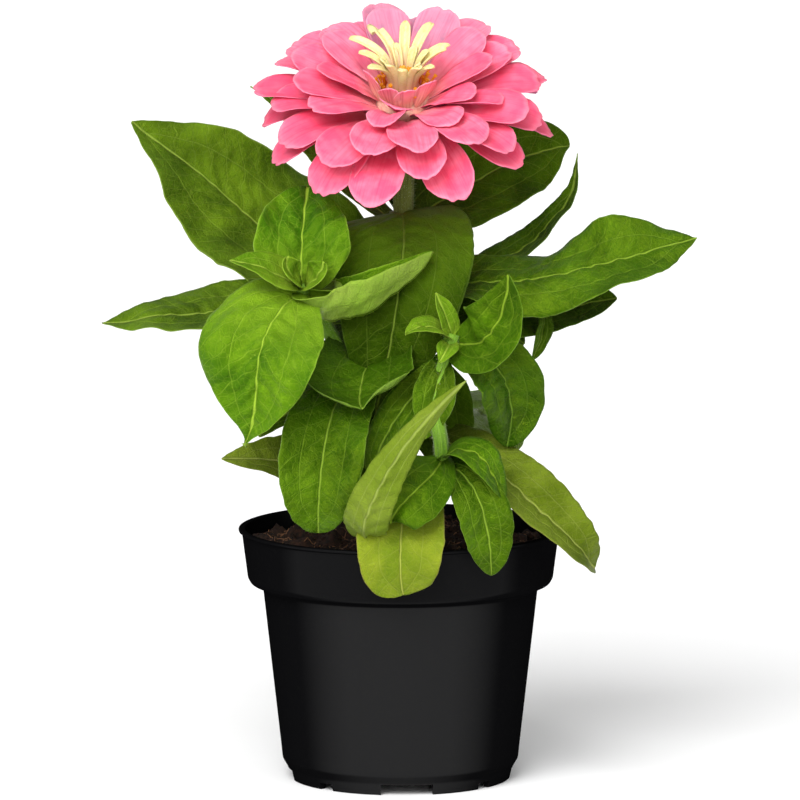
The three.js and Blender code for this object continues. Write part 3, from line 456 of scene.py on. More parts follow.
def leaf_lamina(tree, tone):
    """Living leaf blade, grown: a satin cuticle over mottled green, with fine paler veins in a net.

    The cuticle gives a soft wide highlight, and light that enters the blade leaves it yellower.
    """
    dark, light, vein, margin, under, root = TONES[tone]
    roughness, specular = LEAF_FINISH[tone]
    place = add(tree, "Attribute", attribute_name="leaf_place").outputs["Vector"]
    across, along, underside = add(tree, "SeparateXYZ", (place,)).outputs
    flat = add(tree, "Attribute", attribute_name="leaf_flat").outputs["Vector"]
    lines = add(tree, "Attribute", attribute_name="vein_lines").outputs["Vector"]
    from_midrib, from_side, from_arch = add(tree, "SeparateXYZ", (lines,)).outputs

    # Patches of darker and lighter green, some centimetres across, and a mottle of millimetres.
    patches = add(tree, "TexNoise", {"Vector": flat, "Scale": 0.06, "Detail": 2.0})
    patches = add(tree, "MapRange", (patches, 0.34, 0.66))
    mottle = add(tree, "TexNoise", {"Vector": flat, "Scale": 1.1, "Detail": 4.0, "Roughness": 0.7})
    mottle = add(tree, "MapRange", (mottle, 0.3, 0.7))
    share = add(tree, "Mix", (0.25, patches, mottle), data_type="FLOAT")
    green = add(tree, "Mix", (share, dark, light), data_type="RGBA")
    # Towards the root the green turns to the root colour: painted shade near the base where that colour is
    # darker, the leaf's own paler tint where it is lighter.
    root_shade_and_tint = add(tree, "MapRange", (along, 0.0, 0.55, 0.8, 0.0), interpolation_type="SMOOTHSTEP")
    green = add(tree, "Mix", (root_shade_and_tint, green, root), data_type="RGBA")

    # The midrib, the two long side veins, the arched veins that leave them, and the net between.
    sway = add(tree, "TexNoise", {"Vector": flat, "Scale": 0.11, "Detail": 1.0})
    sway = add(tree, "Math", (sway, 7.0, from_arch), operation="MULTIPLY_ADD")
    arched = add(tree, "Math", (sway, SECONDARY_SPACING / 2), operation="PINGPONG")
    net = add(
        tree, "TexVoronoi", {"Vector": flat, "Scale": 1 / NET_CELL, "Randomness": 1.0},
        feature="DISTANCE_TO_EDGE",
    )
    midrib = vein_mask(tree, from_midrib, 0.12, 0.62, 0.8)
    side_vein = vein_mask(tree, from_side, 0.03, 0.4, 0.26)
    large = add(tree, "Math", (midrib, side_vein), operation="MAXIMUM")
    arched = vein_mask(tree, arched, 0.02, 0.34, 0.22)
    net = vein_mask(tree, net, 0.0, 0.07, 0.13)
    small = add(tree, "Math", (arched, net), operation="MAXIMUM")
    veins = add(tree, "Math", (large, small), operation="MAXIMUM")
    veined = add(tree, "Mix", (veins, green, vein), data_type="RGBA")

    # The margin's thin pale line, and the paler underside, where only the large veins stand out.
    edge = add(tree, "Math", (across,), operation="ABSOLUTE")
    edge = add(tree, "MapRange", (edge, 0.97, 0.995, 0.0, 0.8))
    edged = add(tree, "Mix", (edge, veined, margin), data_type="RGBA")
    ribs = add(tree, "Math", (large, 0.55), operation="MULTIPLY")
    below = add(tree, "Mix", (share, under, margin), data_type="RGBA")
    below = add(tree, "Mix", (ribs, below, vein), data_type="RGBA")
    colour = add(tree, "Mix", (underside, edged, below), data_type="RGBA")

    grain = add(tree, "TexNoise", {"Vector": flat, "Scale": 2.2, "Detail": 3.0})
    crinkle = add(tree, "TexNoise", {"Vector": flat, "Scale": 0.24, "Detail": 2.0})
    height = add(tree, "Math", (crinkle, 3.2, grain), operation="MULTIPLY_ADD")
    height = add(tree, "Math", (veins, -2.2, height), operation="MULTIPLY_ADD")
    bump = add(tree, "Bump", {"Strength": 0.7, "Distance": 0.0004, "Height": height})
    gloss = add(tree, "MapRange", (patches, 0.0, 1.0, roughness + 0.08, roughness - 0.04))
    return add(tree, "BsdfPrincipled", {
        "Base Color": colour, "Roughness": gloss, "Normal": bump,
        "Specular IOR Level": specular, "Specular Tint": (0.7, 0.95, 0.05, 1.0),
        "Subsurface Weight": 0.1, "Subsurface Scale": 0.0008, "Subsurface Radius": (0.6, 1.0, 0.15),
    })


def stem_rind(tree, kind):
    """Living zinnia stem, grown: ribbed lengthwise, with a bloom of fine white hairs that dulls it."""
    dark, light, hair_grey = RINDS[kind]
    flat = add(tree, "Attribute", attribute_name="stem_flat").outputs["Vector"]
    stretched = add(tree, "Mapping", {"Vector": flat, "Scale": (1.6, 0.12, 1.0)})
    ribs = add(tree, "TexNoise", {"Vector": stretched, "Scale": 1.0, "Detail": 3.0})
    share = add(tree, "MapRange", (ribs, 0.35, 0.65))
    green = add(tree, "Mix", (share, dark, light), data_type="RGBA")
    down = add(tree, "TexNoise", {"Vector": flat, "Scale": 3.0, "Detail": 4.0})
    down = add(tree, "MapRange", (down, 0.45, 0.75, 0.0, 0.4))
    hairy = add(tree, "Mix", (down, green, hair_grey), data_type="RGBA")
    bump = add(tree, "Bump", {"Strength": 0.5, "Distance": 0.0003, "Height": ribs})
    return add(tree, "BsdfPrincipled", {
        "Base Color": hairy, "Roughness": 0.5, "Normal": bump,
        "Specular IOR Level": 0.25, "Specular Tint": (0.85, 1.0, 0.4, 1.0),
        "Subsurface Weight": 0.12, "Subsurface Scale": 0.0015, "Subsurface Radius": (0.6, 1.0, 0.2),
        "Sheen Weight": 0.08, "Sheen Roughness": 0.5,
    })


def plant_hair(tree):
    """Plant hair: a clear thin-walled cell that scatters light, so it looks white."""
    place = add(tree, "TexCoord").outputs["Object"]
    tint = add(tree, "TexNoise", {"Vector": place, "Scale": 90.0})
    white = add(tree, "Mix", (tint, "#98a678", "#c6ccaa"), data_type="RGBA")
    return add(tree, "BsdfPrincipled", {"Base Color": white, "Roughness": 0.4})


def petal_velvet(tree, settings):
    """Living ray petal, grown: velvety cells over fine lengthwise veins, matt, from coral to pink.

    Light passes through it and comes out more saturated, and its thin edge looks pale.
    """
    place = add(tree, "Attribute", attribute_name="petal_place").outputs["Vector"]
    across, along, underside = add(tree, "SeparateXYZ", (place,)).outputs
    flat = add(tree, "Attribute", attribute_name="petal_flat").outputs["Vector"]
    kind = add(tree, "Attribute", attribute_name="petal_kind").outputs["Vector"]
    tint, inner, toward_tip = add(tree, "SeparateXYZ", (kind,)).outputs

    # Front petals are coral and back ones pink, each with soft patches. Petals that point to the sides take a
    # deeper red-pink, which is painted shade of petals seen from the side.
    base = add(tree, "Mix", (tint, opaque(settings.coral), opaque(settings.pink)), data_type="RGBA")
    patches = add(tree, "TexNoise", {"Vector": flat, "Scale": 0.16, "Detail": 3.0})
    patches = add(tree, "MapRange", (patches, 0.38, 0.64, 0.0, 0.6))
    pale = add(tree, "Mix", (patches, base, "#fb8aa2"), data_type="RGBA")
    beside = add(tree, "MapRange", (tint, 0.0, -0.8, 0.0, 0.85))
    pale = add(tree, "Mix", (beside, pale, opaque(settings.side_shade_rose)), data_type="RGBA")
    young = add(tree, "MapRange", (along, 0.35, 0.95))
    young = add(tree, "Mix", (young, "#dcb8a0", "#e07f96"), data_type="RGBA")
    pale = add(tree, "Mix", (inner, pale, young), data_type="RGBA")

    # Veins run the petal's length, about 0.9 mm apart, and are stronger on the small inner petals.
    stretched = add(tree, "Mapping", {"Vector": flat, "Scale": (1.1, 0.05, 1.0)})
    veins = add(tree, "TexNoise", {"Vector": stretched, "Scale": 1.0, "Detail": 2.5})
    fine = add(tree, "MapRange", (veins, 0.48, 0.66))
    strength = add(tree, "MapRange", (inner, 0.0, 1.0, 0.34, 0.6))
    fine = add(tree, "Math", (fine, strength), operation="MULTIPLY")
    deep = add(tree, "Mix", (tint, "#e02c54", "#b84a72"), data_type="RGBA")
    deep = add(tree, "Mix", (inner, deep, "#b04e5e"), data_type="RGBA")
    veined = add(tree, "Mix", (fine, pale, deep), data_type="RGBA")

    # The claw is pale where it leaves the core, the edge and tip are paler still, and the underside
    # is a duller pink with the same veins.
    claw = add(tree, "MapRange", (along, 0.05, 0.42, 0.5, 0.0))
    clawed = add(tree, "Mix", (claw, veined, "#e0aea0"), data_type="RGBA")
    edge = add(tree, "Math", (across,), operation="ABSOLUTE")
    end = add(tree, "Math", (edge, toward_tip), operation="MAXIMUM")
    end = add(tree, "MapRange", (end, 0.94, 1.0, 0.0, 0.35))
    edged = add(tree, "Mix", (end, clawed, "#f2a2b2"), data_type="RGBA")
    below = add(tree, "Mix", (inner, "#cc5f88", young), data_type="RGBA")
    below = add(tree, "Mix", (fine, below, deep), data_type="RGBA")
    colour = add(tree, "Mix", (underside, edged, below), data_type="RGBA")
    bump = add(tree, "Bump", {"Strength": 0.4, "Distance": 0.0002, "Height": veins})
    gloss = add(tree, "MapRange", (patches, 0.0, 1.0, 0.5, 0.62))
    return add(tree, "BsdfPrincipled", {
        "Base Color": colour, "Roughness": gloss, "Normal": bump,
        "Specular IOR Level": 0.2, "Subsurface Weight": 0.35, "Subsurface Scale": 0.0008,
        "Subsurface Radius": (1.0, 0.4, 0.5),
    })


def floret_tissue(tree, base, tip, deep):
    """Living floret tissue, grown: soft, slightly waxy straps and tubes that glow where light passes."""
    place = add(tree, "Attribute", attribute_name="petal_place").outputs["Vector"]
    along = add(tree, "SeparateXYZ", (place,)).outputs["Y"]
    flat = add(tree, "Attribute", attribute_name="petal_flat").outputs["Vector"]
    rise = add(tree, "MapRange", (along, 0.1, 0.72))
    shaded = add(tree, "Mix", (rise, base, tip), data_type="RGBA")
    speck = add(tree, "TexNoise", {"Vector": flat, "Scale": 0.8, "Detail": 3.0})
    speck = add(tree, "MapRange", (speck, 0.5, 0.72, 0.0, 0.55))
    colour = add(tree, "Mix", (speck, shaded, deep), data_type="RGBA")
    bump = add(tree, "Bump", {"Strength": 0.4, "Distance": 0.0002, "Height": speck})
    return add(tree, "BsdfPrincipled", {
        "Base Color": colour, "Roughness": 0.45, "Normal": bump,
        "Subsurface Weight": 0.25, "Subsurface Scale": 0.001, "Subsurface Radius": (1.0, 0.7, 0.3),
    })


def potting_soil(tree, settings):
    """Peat potting soil, screened and damp: loose brown crumbs that scatter light and never shine."""
    place = add(tree, "TexCoord").outputs["Object"]
    crumbs = add(tree, "TexNoise", {"Vector": place, "Scale": 380.0, "Detail": 5.0, "Roughness": 0.7})
    share = add(tree, "MapRange", (crumbs, 0.38, 0.66))
    brown = add(tree, "Mix", (share, opaque(settings.dark), opaque(settings.light)), data_type="RGBA")
    specks = add(tree, "TexVoronoi", {"Vector": place, "Scale": 900.0})
    specks = add(tree, "MapRange", (specks, 0.12, 0.2, 0.5, 0.0))
    colour = add(tree, "Mix", (specks, brown, "#4a3020"), data_type="RGBA")
    bump = add(tree, "Bump", {"Strength": 0.9, "Distance": 0.0006, "Height": crumbs})
    return add(tree, "BsdfPrincipled", {
        "Base Color": colour, "Roughness": 0.92, "Normal": bump,
        "Specular IOR Level": 0.2,
    })


def peat_fibre(tree):
    """Peat fibre, dried plant thread: tan to red-brown, dull and woody."""
    flat = add(tree, "TexCoord").outputs["Object"]
    tone = add(tree, "TexNoise", {"Vector": flat, "Scale": 150.0, "Detail": 2.0})
    share = add(tree, "MapRange", (tone, 0.35, 0.65))
    brown = add(tree, "Mix", (share, "#2a170d", "#6b4526"), data_type="RGBA")
    return add(tree, "BsdfPrincipled", {"Base Color": brown, "Roughness": 0.8})


def moulded_polypropylene(tree, settings):
    """Polypropylene, injection moulded: a black satin skin with faint flow marks down the wall.

    Faces seen straight on look satin. Near the outline and on the collar the fine mould texture
    scatters light, so they look matt and a little greyer.
    """
    place = add(tree, "TexCoord").outputs["Object"]
    stretched = add(tree, "Mapping", {"Vector": place, "Scale": (1.0, 1.0, 0.12)})
    flow = add(tree, "TexNoise", {"Vector": stretched, "Scale": 60.0, "Detail": 4.0})
    dust = add(tree, "TexNoise", {"Vector": place, "Scale": 700.0, "Detail": 3.0})
    gloss = add(tree, "MapRange", (flow, 0.3, 0.7, 0.4, 0.5))
    dusty = add(tree, "MapRange", (dust, 0.55, 0.8, 0.0, 0.12))
    colour = add(tree, "Mix", (dusty, opaque(settings.colour), "#1c1b1a"), data_type="RGBA")
    bump = add(tree, "Bump", {"Strength": 0.12, "Distance": 0.0002, "Height": dust})
    shader = add(tree, "BsdfPrincipled", {
        "Base Color": colour, "Roughness": gloss, "Normal": bump,
        "IOR": 1.49, "Specular IOR Level": 0.2,
    })
    matt = add(tree, "BsdfDiffuse", {"Color": colour})
    glance = add(tree, "LayerWeight", {"Blend": 0.5})
    height = add(tree, "SeparateXYZ", (place,)).outputs["Z"]
    polish = add(tree, "MapRange", (height, SHOULDER * MM, (SHOULDER + 2) * MM, 0.1, 0.72))
    texture = add(tree, "MapRange", (glance.outputs["Facing"], 0.06, 0.42), interpolation_type="SMOOTHSTEP")
    share = add(tree, "Math", (texture, polish), operation="MAXIMUM")
    return add(tree, "MixShader", (share, shader, matt))


def floor_paper(tree):
    """Seamless background paper, uncoated: white and matt, with the faintest tooth."""
    place = add(tree, "TexCoord").outputs["Object"]
    tooth = add(tree, "TexNoise", {"Vector": place, "Scale": 12.0, "Detail": 2.0})
    white = add(tree, "Mix", (tooth, "#f8f8f8", "#fbfbfb"), data_type="RGBA")
    return add(tree, "BsdfPrincipled", {"Base Color": white, "Roughness": 0.9, "Specular IOR Level": 0.1})


def seeded(seed):
    """The same seeded draw as the solids' own, so that each petal and floret matches its solid."""
    state = seed

    def draw(low, high):
        nonlocal state
        state = (state * 1664525 + 1013904223) % 4294967296
        return low + (high - low) * state / 4294967296

    return draw


def unit(arrows):
    """Vectors scaled to length 1."""
    return arrows / np.maximum(np.linalg.norm(arrows, axis=-1, keepdims=True), 1e-9)


def vectors(x, y, z):
    """Vectors from three arrays or numbers, one for each point."""
    return np.stack(np.broadcast_arrays(x, y, z), axis=-1).astype(float)


def through(points, t):
    """Points at t on the smooth curve through evenly spaced points."""
    points = np.asarray(points, float)
    last = len(points) - 1
    out = np.zeros((*np.shape(t), 3))
    for i in range(last + 1):
        weight = np.ones(np.shape(t))
        for j in range(last + 1):
            if j != i:
                weight = weight * (t * last - j) / (i - j)
        out += weight[..., None] * points[i]
    return out


def blend(pair, share):
    """The value that lies at a share of the way from the first of a pair to the second."""
    return pair[0] + (pair[1] - pair[0]) * share


def turned(a, b, angle):
    """Two coordinates turned by an angle about the third axis."""
    return a * math.cos(angle) - b * math.sin(angle), a * math.sin(angle) + b * math.cos(angle)


def way_out(angle):
    """The level way out from the bloom's axis, at an angle round from the front."""
    return np.array([math.sin(angle), -math.cos(angle), 0.0])


def leaf_share(t, blade):
    """Half of a leaf's width at t, as a share of its widest."""
    rise = 1 - (1 - blade.base) * np.clip(1 - t / blade.widest, 0, None) ** 2
    past = np.clip((t - blade.widest) / (1 - blade.widest), 0, 1)
    return np.where(t < blade.widest, rise, np.clip(1 - past**2, 0, 1) ** blade.taper)


def petal_share(t, blade):
    """Half of a petal's width at t: a narrow claw, widest near the end."""
    rise = 1 - (1 - blade.base) * np.clip(1 - t / blade.widest, 0, None) ** 1.4
    past = np.clip((t - blade.widest) / (1 - blade.widest), 0, None)
    return np.where(t < blade.widest, rise, 1 - (1 - blade.end) * past**2)


def blade_surface(blade, share, t, s):
    """Points of a blade's middle surface, where t runs from root to tip and s from -1 to 1 across."""
    step = 0.001
    along = unit(through(blade.points, t + step) - through(blade.points, t - step))
    face = through(blade.face, t)
    face = unit(face - along * np.sum(face * along, axis=-1, keepdims=True))
    across = np.cross(along, face)
    u = np.abs(s)
    bend = np.where(s < 0, blade.curl[0], blade.curl[1])
    straight = np.abs(bend) < 0.001
    safe = np.where(straight, 1.0, bend)
    end = blade.fold + bend * u
    out = np.where(straight, u * math.cos(blade.fold), (np.sin(end) - math.sin(blade.fold)) / safe)
    rise = np.where(straight, u * math.sin(blade.fold), (math.cos(blade.fold) - np.cos(end)) / safe)
    half = 0.5 * blade.width * share(t, blade)
    turn = 2 * math.pi * blade.waves * t + blade.phase * np.where(s < 0, 1, 2)
    wave = blade.wave * u**2 * np.sin(turn) * np.sin(math.pi * np.clip(t, 0, 1))
    points = through(blade.points, t) + across * (np.sign(s) * half * out)[..., None]
    return points + face * (half * rise + wave)[..., None], half


def grid_normals(points):
    """Normals of a grid of points, rows along the blade and columns across it."""
    along = np.gradient(points, axis=0)
    across = np.gradient(points, axis=1)
    return unit(np.cross(across, along))


def grid_faces(rows, columns, start=0, closed=False, flip=False):
    """Quads of a grid whose points are numbered row by row."""
    width = columns if closed else columns + 1
    i, j = np.meshgrid(np.arange(rows), np.arange(columns), indexing="ij")
    after = (j + 1) % width
    quads = np.stack(
        [i * width + j, i * width + after, (i + 1) * width + after, (i + 1) * width + j], axis=-1
    ).reshape(-1, 4)
    return (quads[:, ::-1] if flip else quads) + start


def rim_faces(rows, columns):
    """Quads that close the rim between a blade's upper grid and the lower one that follows it."""
    width = columns + 1
    count = (rows + 1) * width
    loop = list(range(columns))
    loop += [i * width + columns for i in range(rows)]
    loop += [rows * width + j for j in range(columns, 0, -1)]
    loop += [i * width for i in range(rows, 0, -1)]
    ring = np.array(loop)
    after = np.roll(ring, -1)
    return np.stack([after, ring, ring + count, after + count], axis=-1)


def new_mesh(name, points, faces):
    """A mesh from points in millimetres."""
    mesh = bpy.data.meshes.new(name)
    mesh.from_pydata((points * MM).tolist(), [], faces)
    return mesh


def new_object(name, data):
    """An object that shows the data, linked to the scene."""
    made = bpy.data.objects.new(name, data)
    bpy.context.scene.collection.objects.link(made)
    return made


class Shape:
    """Vertices, faces and point attributes gathered for one piece."""

    def __init__(self):
        self.points = []
        self.faces = []
        self.values = {}
        self.count = 0

    def add(self, points, faces, **values):
        """Adds a patch. Each value is an array of vectors, one for each of the patch's points."""
        points = np.asarray(points, float).reshape(-1, 3)
        self.points.append(points)
        self.faces += [[int(v) + self.count for v in face] for face in faces]
        for name, value in values.items():
            self.values.setdefault(name, []).append(np.asarray(value, float).reshape(-1, 3))
        self.count += len(points)

    def piece(self, name, material, node, slot, smooth=True):
        """Makes the piece, in metres, hangs it on the body and hides the CAD node it stands for."""
        mesh = new_mesh(name, np.vstack(self.points), self.faces)
        if mesh.validate():
            raise RuntimeError(f"{name} has faces that aren't sound")
        for label, value in self.values.items():
            attribute = mesh.attributes.new(label, "FLOAT_VECTOR", "POINT")
            attribute.data.foreach_set("vector", np.vstack(value).astype(np.float32).ravel())
        mesh.polygons.foreach_set("use_smooth", [smooth] * len(mesh.polygons))
        mesh.materials.append(material)
        made = new_object(name, mesh)
        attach(made, BODY)
        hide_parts(node)
        return made


def add_blade(shape, upper, lower, place, s, t, under, **values):
    """Adds a closed thin blade between two grids of points. Under marks its lower face."""
    rows, columns = len(upper) - 1, len(upper[0]) - 1
    faces = [*grid_faces(rows, columns), *grid_faces(rows, columns, start=t.size, flip=True)]
    faces += [*rim_faces(rows, columns)]
    doubled = {name: np.stack([value, value]) for name, value in values.items()}
    marks = np.stack([vectors(s, t, 0), vectors(s, t, under)])
    shape.add(np.stack([upper, lower]), faces, **{place: marks, **doubled})


def leaf_material(tone):
    """The leaf material of one tone."""
    return shared_material(f"Zinnia leaf blade, {tone}", leaf_lamina, tone)


def stem_material(kind):
    """The rind of one kind of stem."""
    return shared_material(f"Zinnia stem rind, {kind}", stem_rind, kind)


def veins_at(s, half, length, t):
    """A leaf's flat place, and how far it is from a side vein and from an arched one, in mm."""
    x, y = s * half, t * length
    side_place = 0.5 * (1 - np.exp(-t / 0.11)) * half
    side = np.where(t < 0.8, np.abs(x) - side_place, np.abs(x) - side_place + (t - 0.8) * 20)
    phase = y - 0.75 * np.abs(x) - 0.012 * x**2 + np.where(s < 0, 0.0, SECONDARY_SPACING / 2)
    return x, y, side, phase


def grow_leaf(name, blade, index, node):
    """One leaf as a closed thin blade, with sunk veins above, ribs below and a wavy margin."""
    settings = bpy.context.scene.zinnia_foliage
    spine = through(blade.points, np.linspace(0, 1, 60))
    length = float(np.sum(np.linalg.norm(np.diff(spine, axis=0), axis=1)))
    pitch = settings.pitch / MM
    rows = max(14, round(length / pitch))
    columns = 2 * max(5, round(0.5 * blade.width / pitch))
    rising = 0.998 * (1 - (1 - np.linspace(0, 1, rows + 1)) ** 1.25)
    t, s = np.meshgrid(rising, np.linspace(-1, 1, columns + 1), indexing="ij")
    chance = np.random.default_rng(LEAF_SEED + index)
    shift = chance.uniform(0, 50, 3)
    points, half = blade_surface(blade, leaf_share, t, s)
    x, y, side, phase = veins_at(s, half, length, t)

    # The lamina puffs between the arched veins, swells and sinks more broadly, is sunk along the
    # midrib and the side veins, and ripples towards its margin.
    sway = smooth_noise(x * 0.11, y * 0.11, shift)
    quilt = np.cos(2 * math.pi * (phase + 3.5 * sway) / SECONDARY_SPACING)
    puff = blade.puff * np.clip(1 - np.abs(s), 0, 1) ** 0.4
    puff = puff * np.clip(t * 6, 0, 1) * np.clip((1 - t) * 3, 0, 1)
    relief = 0.6 * puff * -quilt
    relief += blade.puff * 1.7 * smooth_noise(x * 0.09, y * 0.06, shift + 9) * np.clip(t * 4, 0, 1)
    relief -= (0.35 + 0.35 * blade.puff) * np.exp(-((x / 1.4) ** 2)) * np.clip(half / 4, 0, 1)
    relief -= 0.3 * blade.puff * np.exp(-((side / 1.3) ** 2)) * np.clip(half / 6, 0, 1)
    ripple = 0.03 * min(blade.width, 30) * np.abs(s) ** 3
    relief += ripple * smooth_noise(np.where(s < 0, 3.0, 8.0), y * 0.12, shift + 5) * np.clip(t * 4, 0, 1)
    normal = grid_normals(points)
    points = points + normal * relief[..., None]

    # The margin's outline is uneven. The blade thins towards it, and ribs stand out below.
    points -= unit(np.gradient(points, axis=1)) * (
        np.sign(s) * np.abs(s) ** 4 * 0.35 * smooth_noise(np.where(s < 0, 1.0, 6.0), y * 0.3, shift)
    )[..., None]
    normal = grid_normals(points)
    thick = settings.thickness / MM * (1 - 0.45 * np.abs(s) ** 3)
    rib = 0.9 * np.exp(-((x / 0.9) ** 2)) * np.clip(half / 6, 0, 1) * (1 - 0.8 * t)
    upper = points + normal * (0.5 * thick)[..., None]
    lower = points - normal * (0.5 * thick + rib)[..., None]
    shape = Shape()
    flat = vectors(x + shift[0] * 10, y, 37.0 * index)
    add_blade(shape, upper, lower, "leaf_place", s, t, 1, leaf_flat=flat, vein_lines=vectors(x, side, phase))
    return shape.piece(name, leaf_material(blade.tone), node, "leaf")


def grow_leaves(pattern, leaves, first, node):
    """The leaves of one shoot, whose pieces are numbered from 1."""
    for i, blade in enumerate(leaves):
        grow_leaf(pattern.format(i + 1), blade, first + i, node)


def smooth_noise(x, y, shift):
    """Smooth noise from -1 to 1 at each point of two arrays, without repeats that the eye can find."""
    x, y = np.broadcast_arrays(x, y)
    flat = [
        noise.noise(Vector((a + shift[0], b + shift[1], shift[2])))
        for a, b in zip(x.ravel().tolist(), y.ravel().tolist())
    ]
    return np.array(flat).reshape(x.shape) * 1.6


def stem_curve(points, count):
    """Points along the centripetal curve that the solids' stems follow."""
    points = [np.array(p, float) for p in points]
    ends = [2 * points[0] - points[1], *points, 2 * points[-1] - points[-2]]
    out = []
    for i in range(len(points) - 1):
        before, start, end, after = ends[i : i + 4]
        pairs = ((before, start), (start, end), (end, after))
        first, middle, last = [max(np.linalg.norm(b - a) ** 0.5, 1e-4) for a, b in pairs]
        leave = (start - before) / first - (end - before) / (first + middle) + (end - start) / middle
        arrive = (end - start) / middle - (after - start) / (middle + last) + (after - end) / last
        leave, arrive = leave * middle, arrive * middle
        for u in np.linspace(0, 1, count, endpoint=i == len(points) - 2):
            out.append(
                start + leave * u + (-3 * start + 3 * end - 2 * leave - arrive) * u**2
                + (2 * start - 2 * end + leave + arrive) * u**3
            )
    return np.array(out)


def tube(shape, line, radii, sides=28, ridges=7, ridge=0.05):
    """A closed ribbed tube along a line of points, with its own radius at each, capped by two fans."""
    tangents = unit(np.gradient(line, axis=0))
    normal = unit(np.cross(tangents[0], [0.31, 0.95, 0.1]))
    angle = np.linspace(0, 2 * math.pi, sides, endpoint=False)
    rings = []
    for point, tangent, radius in zip(line, tangents, radii):
        normal = unit(normal - tangent * np.dot(normal, tangent))
        binormal = np.cross(tangent, normal)
        reach = radius * (1 + ridge * np.cos(ridges * angle))
        ways = normal * np.cos(angle)[:, None] + binormal * np.sin(angle)[:, None]
        rings.append(point + ways * reach[:, None])
    rings = np.array(rings)
    rows = len(line) - 1
    ends = np.array([line[0], line[-1]])
    count = rings.shape[0] * sides
    faces = [list(f) for f in grid_faces(rows, sides, closed=True)]
    faces += [[count, (j + 1) % sides, j] for j in range(sides)]
    faces += [[count + 1, rows * sides + j, rows * sides + (j + 1) % sides] for j in range(sides)]
    travel = np.concatenate([[0], np.cumsum(np.linalg.norm(np.diff(line, axis=0), axis=1))])
    flat = vectors(np.cos(angle) * 6, travel[:, None], np.sin(angle) * 6).reshape(-1, 3)
    flat = np.concatenate([flat, [[0, 0, 0], [0, travel[-1], 0]]])
    shape.add(np.concatenate([rings.reshape(-1, 3), ends]), faces, stem_flat=flat)
    return rings


def add_hairs(shape, surface_points, outward, length, radius, chance):
    """Hairs that stand on a surface: slim three-sided spikes, each leaning its own way."""
    for point, way in zip(surface_points, outward):
        lean = unit(way + chance.normal(0, 0.35, 3))
        side = unit(np.cross(lean, [0.2, 0.5, 0.9]))
        other = np.cross(lean, side)
        root = point - way * 0.05
        ring = [
            root + radius * (side * math.cos(a) + other * math.sin(a))
            for a in (0, 2 * math.pi / 3, 4 * math.pi / 3)
        ]
        tip = root + lean * length * chance.uniform(0.5, 1.15)
        shape.add([*ring, tip], [(0, 1, 3), (1, 2, 3), (2, 0, 3), (2, 1, 0)])


def hairs_on(rings, line_radius, settings, chance):
    """Places for hairs on a tube's rings: points and the ways they stand."""
    span = float(np.sum(np.linalg.norm(np.diff(rings.mean(axis=1), axis=0), axis=1)))
    number = int(settings.hairs * 2 * math.pi * line_radius * span / 100)
    row = chance.integers(0, rings.shape[0] - 1, number)
    column = chance.integers(0, rings.shape[1], number)
    mix = chance.uniform(0, 1, (number, 1))
    points = rings[row, column] * (1 - mix) + rings[row + 1, column] * mix
    centres = rings.mean(axis=1)
    outward = unit(points - (centres[row] * (1 - mix) + centres[row + 1] * mix))
    return points, outward


def grow_stems(name, routes, node, kind):
    """Stems of one shoot with swollen nodes, and the hairs that stand on them."""
    settings = bpy.context.scene.zinnia_foliage
    chance = np.random.default_rng(len(name))
    shape, hairs = Shape(), Shape()
    for points, radius, hair in routes:
        line = stem_curve(points, STEM_STEPS)
        share = np.linspace(0, 1, len(line))
        radii = radius * (1 + 0.12 * np.exp(-(((share - 1) / 0.06) ** 2)) - 0.04 * np.sin(share * 9))
        rings = tube(shape, line, radii)
        places, ways = hairs_on(rings, radius, settings, chance)
        add_hairs(hairs, places, ways, hair, HAIR_RADIUS, chance)
    shape.piece(name, stem_material(kind), node, "leaf")
    silk = shared_material("Plant hair, silky white", plant_hair)
    return hairs.piece(name + "_hairs", silk, node, "leaf")


def in_place(points):
    """Points laid out round the flower head's own axis, leaned and moved to where the head is."""
    lean = bpy.context.scene.zinnia_bloom.lean
    return vectors(points[..., 0], *turned(points[..., 1], points[..., 2], lean)) + BLOOM_CENTRE


def lathe(profile, segments):
    """Points of a turned profile of (radius, height), row by row, and its faces."""
    profile = np.asarray(profile, float)
    angle = np.linspace(0, 2 * math.pi, segments, endpoint=False)
    points = vectors(profile[:, :1] * np.sin(angle), -profile[:, :1] * np.cos(angle), profile[:, 1:])
    return points, [list(f) for f in grid_faces(len(profile) - 1, segments, closed=True)]


def rounded(profile, radius, steps=4):
    """A profile with each inner corner turned into a short curve, no longer than its sides allow."""
    profile = [np.array(p, float) for p in profile]
    out = [profile[0]]
    for before, corner, after in zip(profile, profile[1:], profile[2:]):
        back, ahead = before - corner, after - corner
        reach = min(radius, 0.45 * np.linalg.norm(back), 0.45 * np.linalg.norm(ahead))
        start, end = corner + unit(back) * reach, corner + unit(ahead) * reach
        for u in np.linspace(0, 1, steps + 1):
            out.append(start * (1 - u) ** 2 + 2 * corner * u * (1 - u) + end * u**2)
    return [*out, profile[-1]]


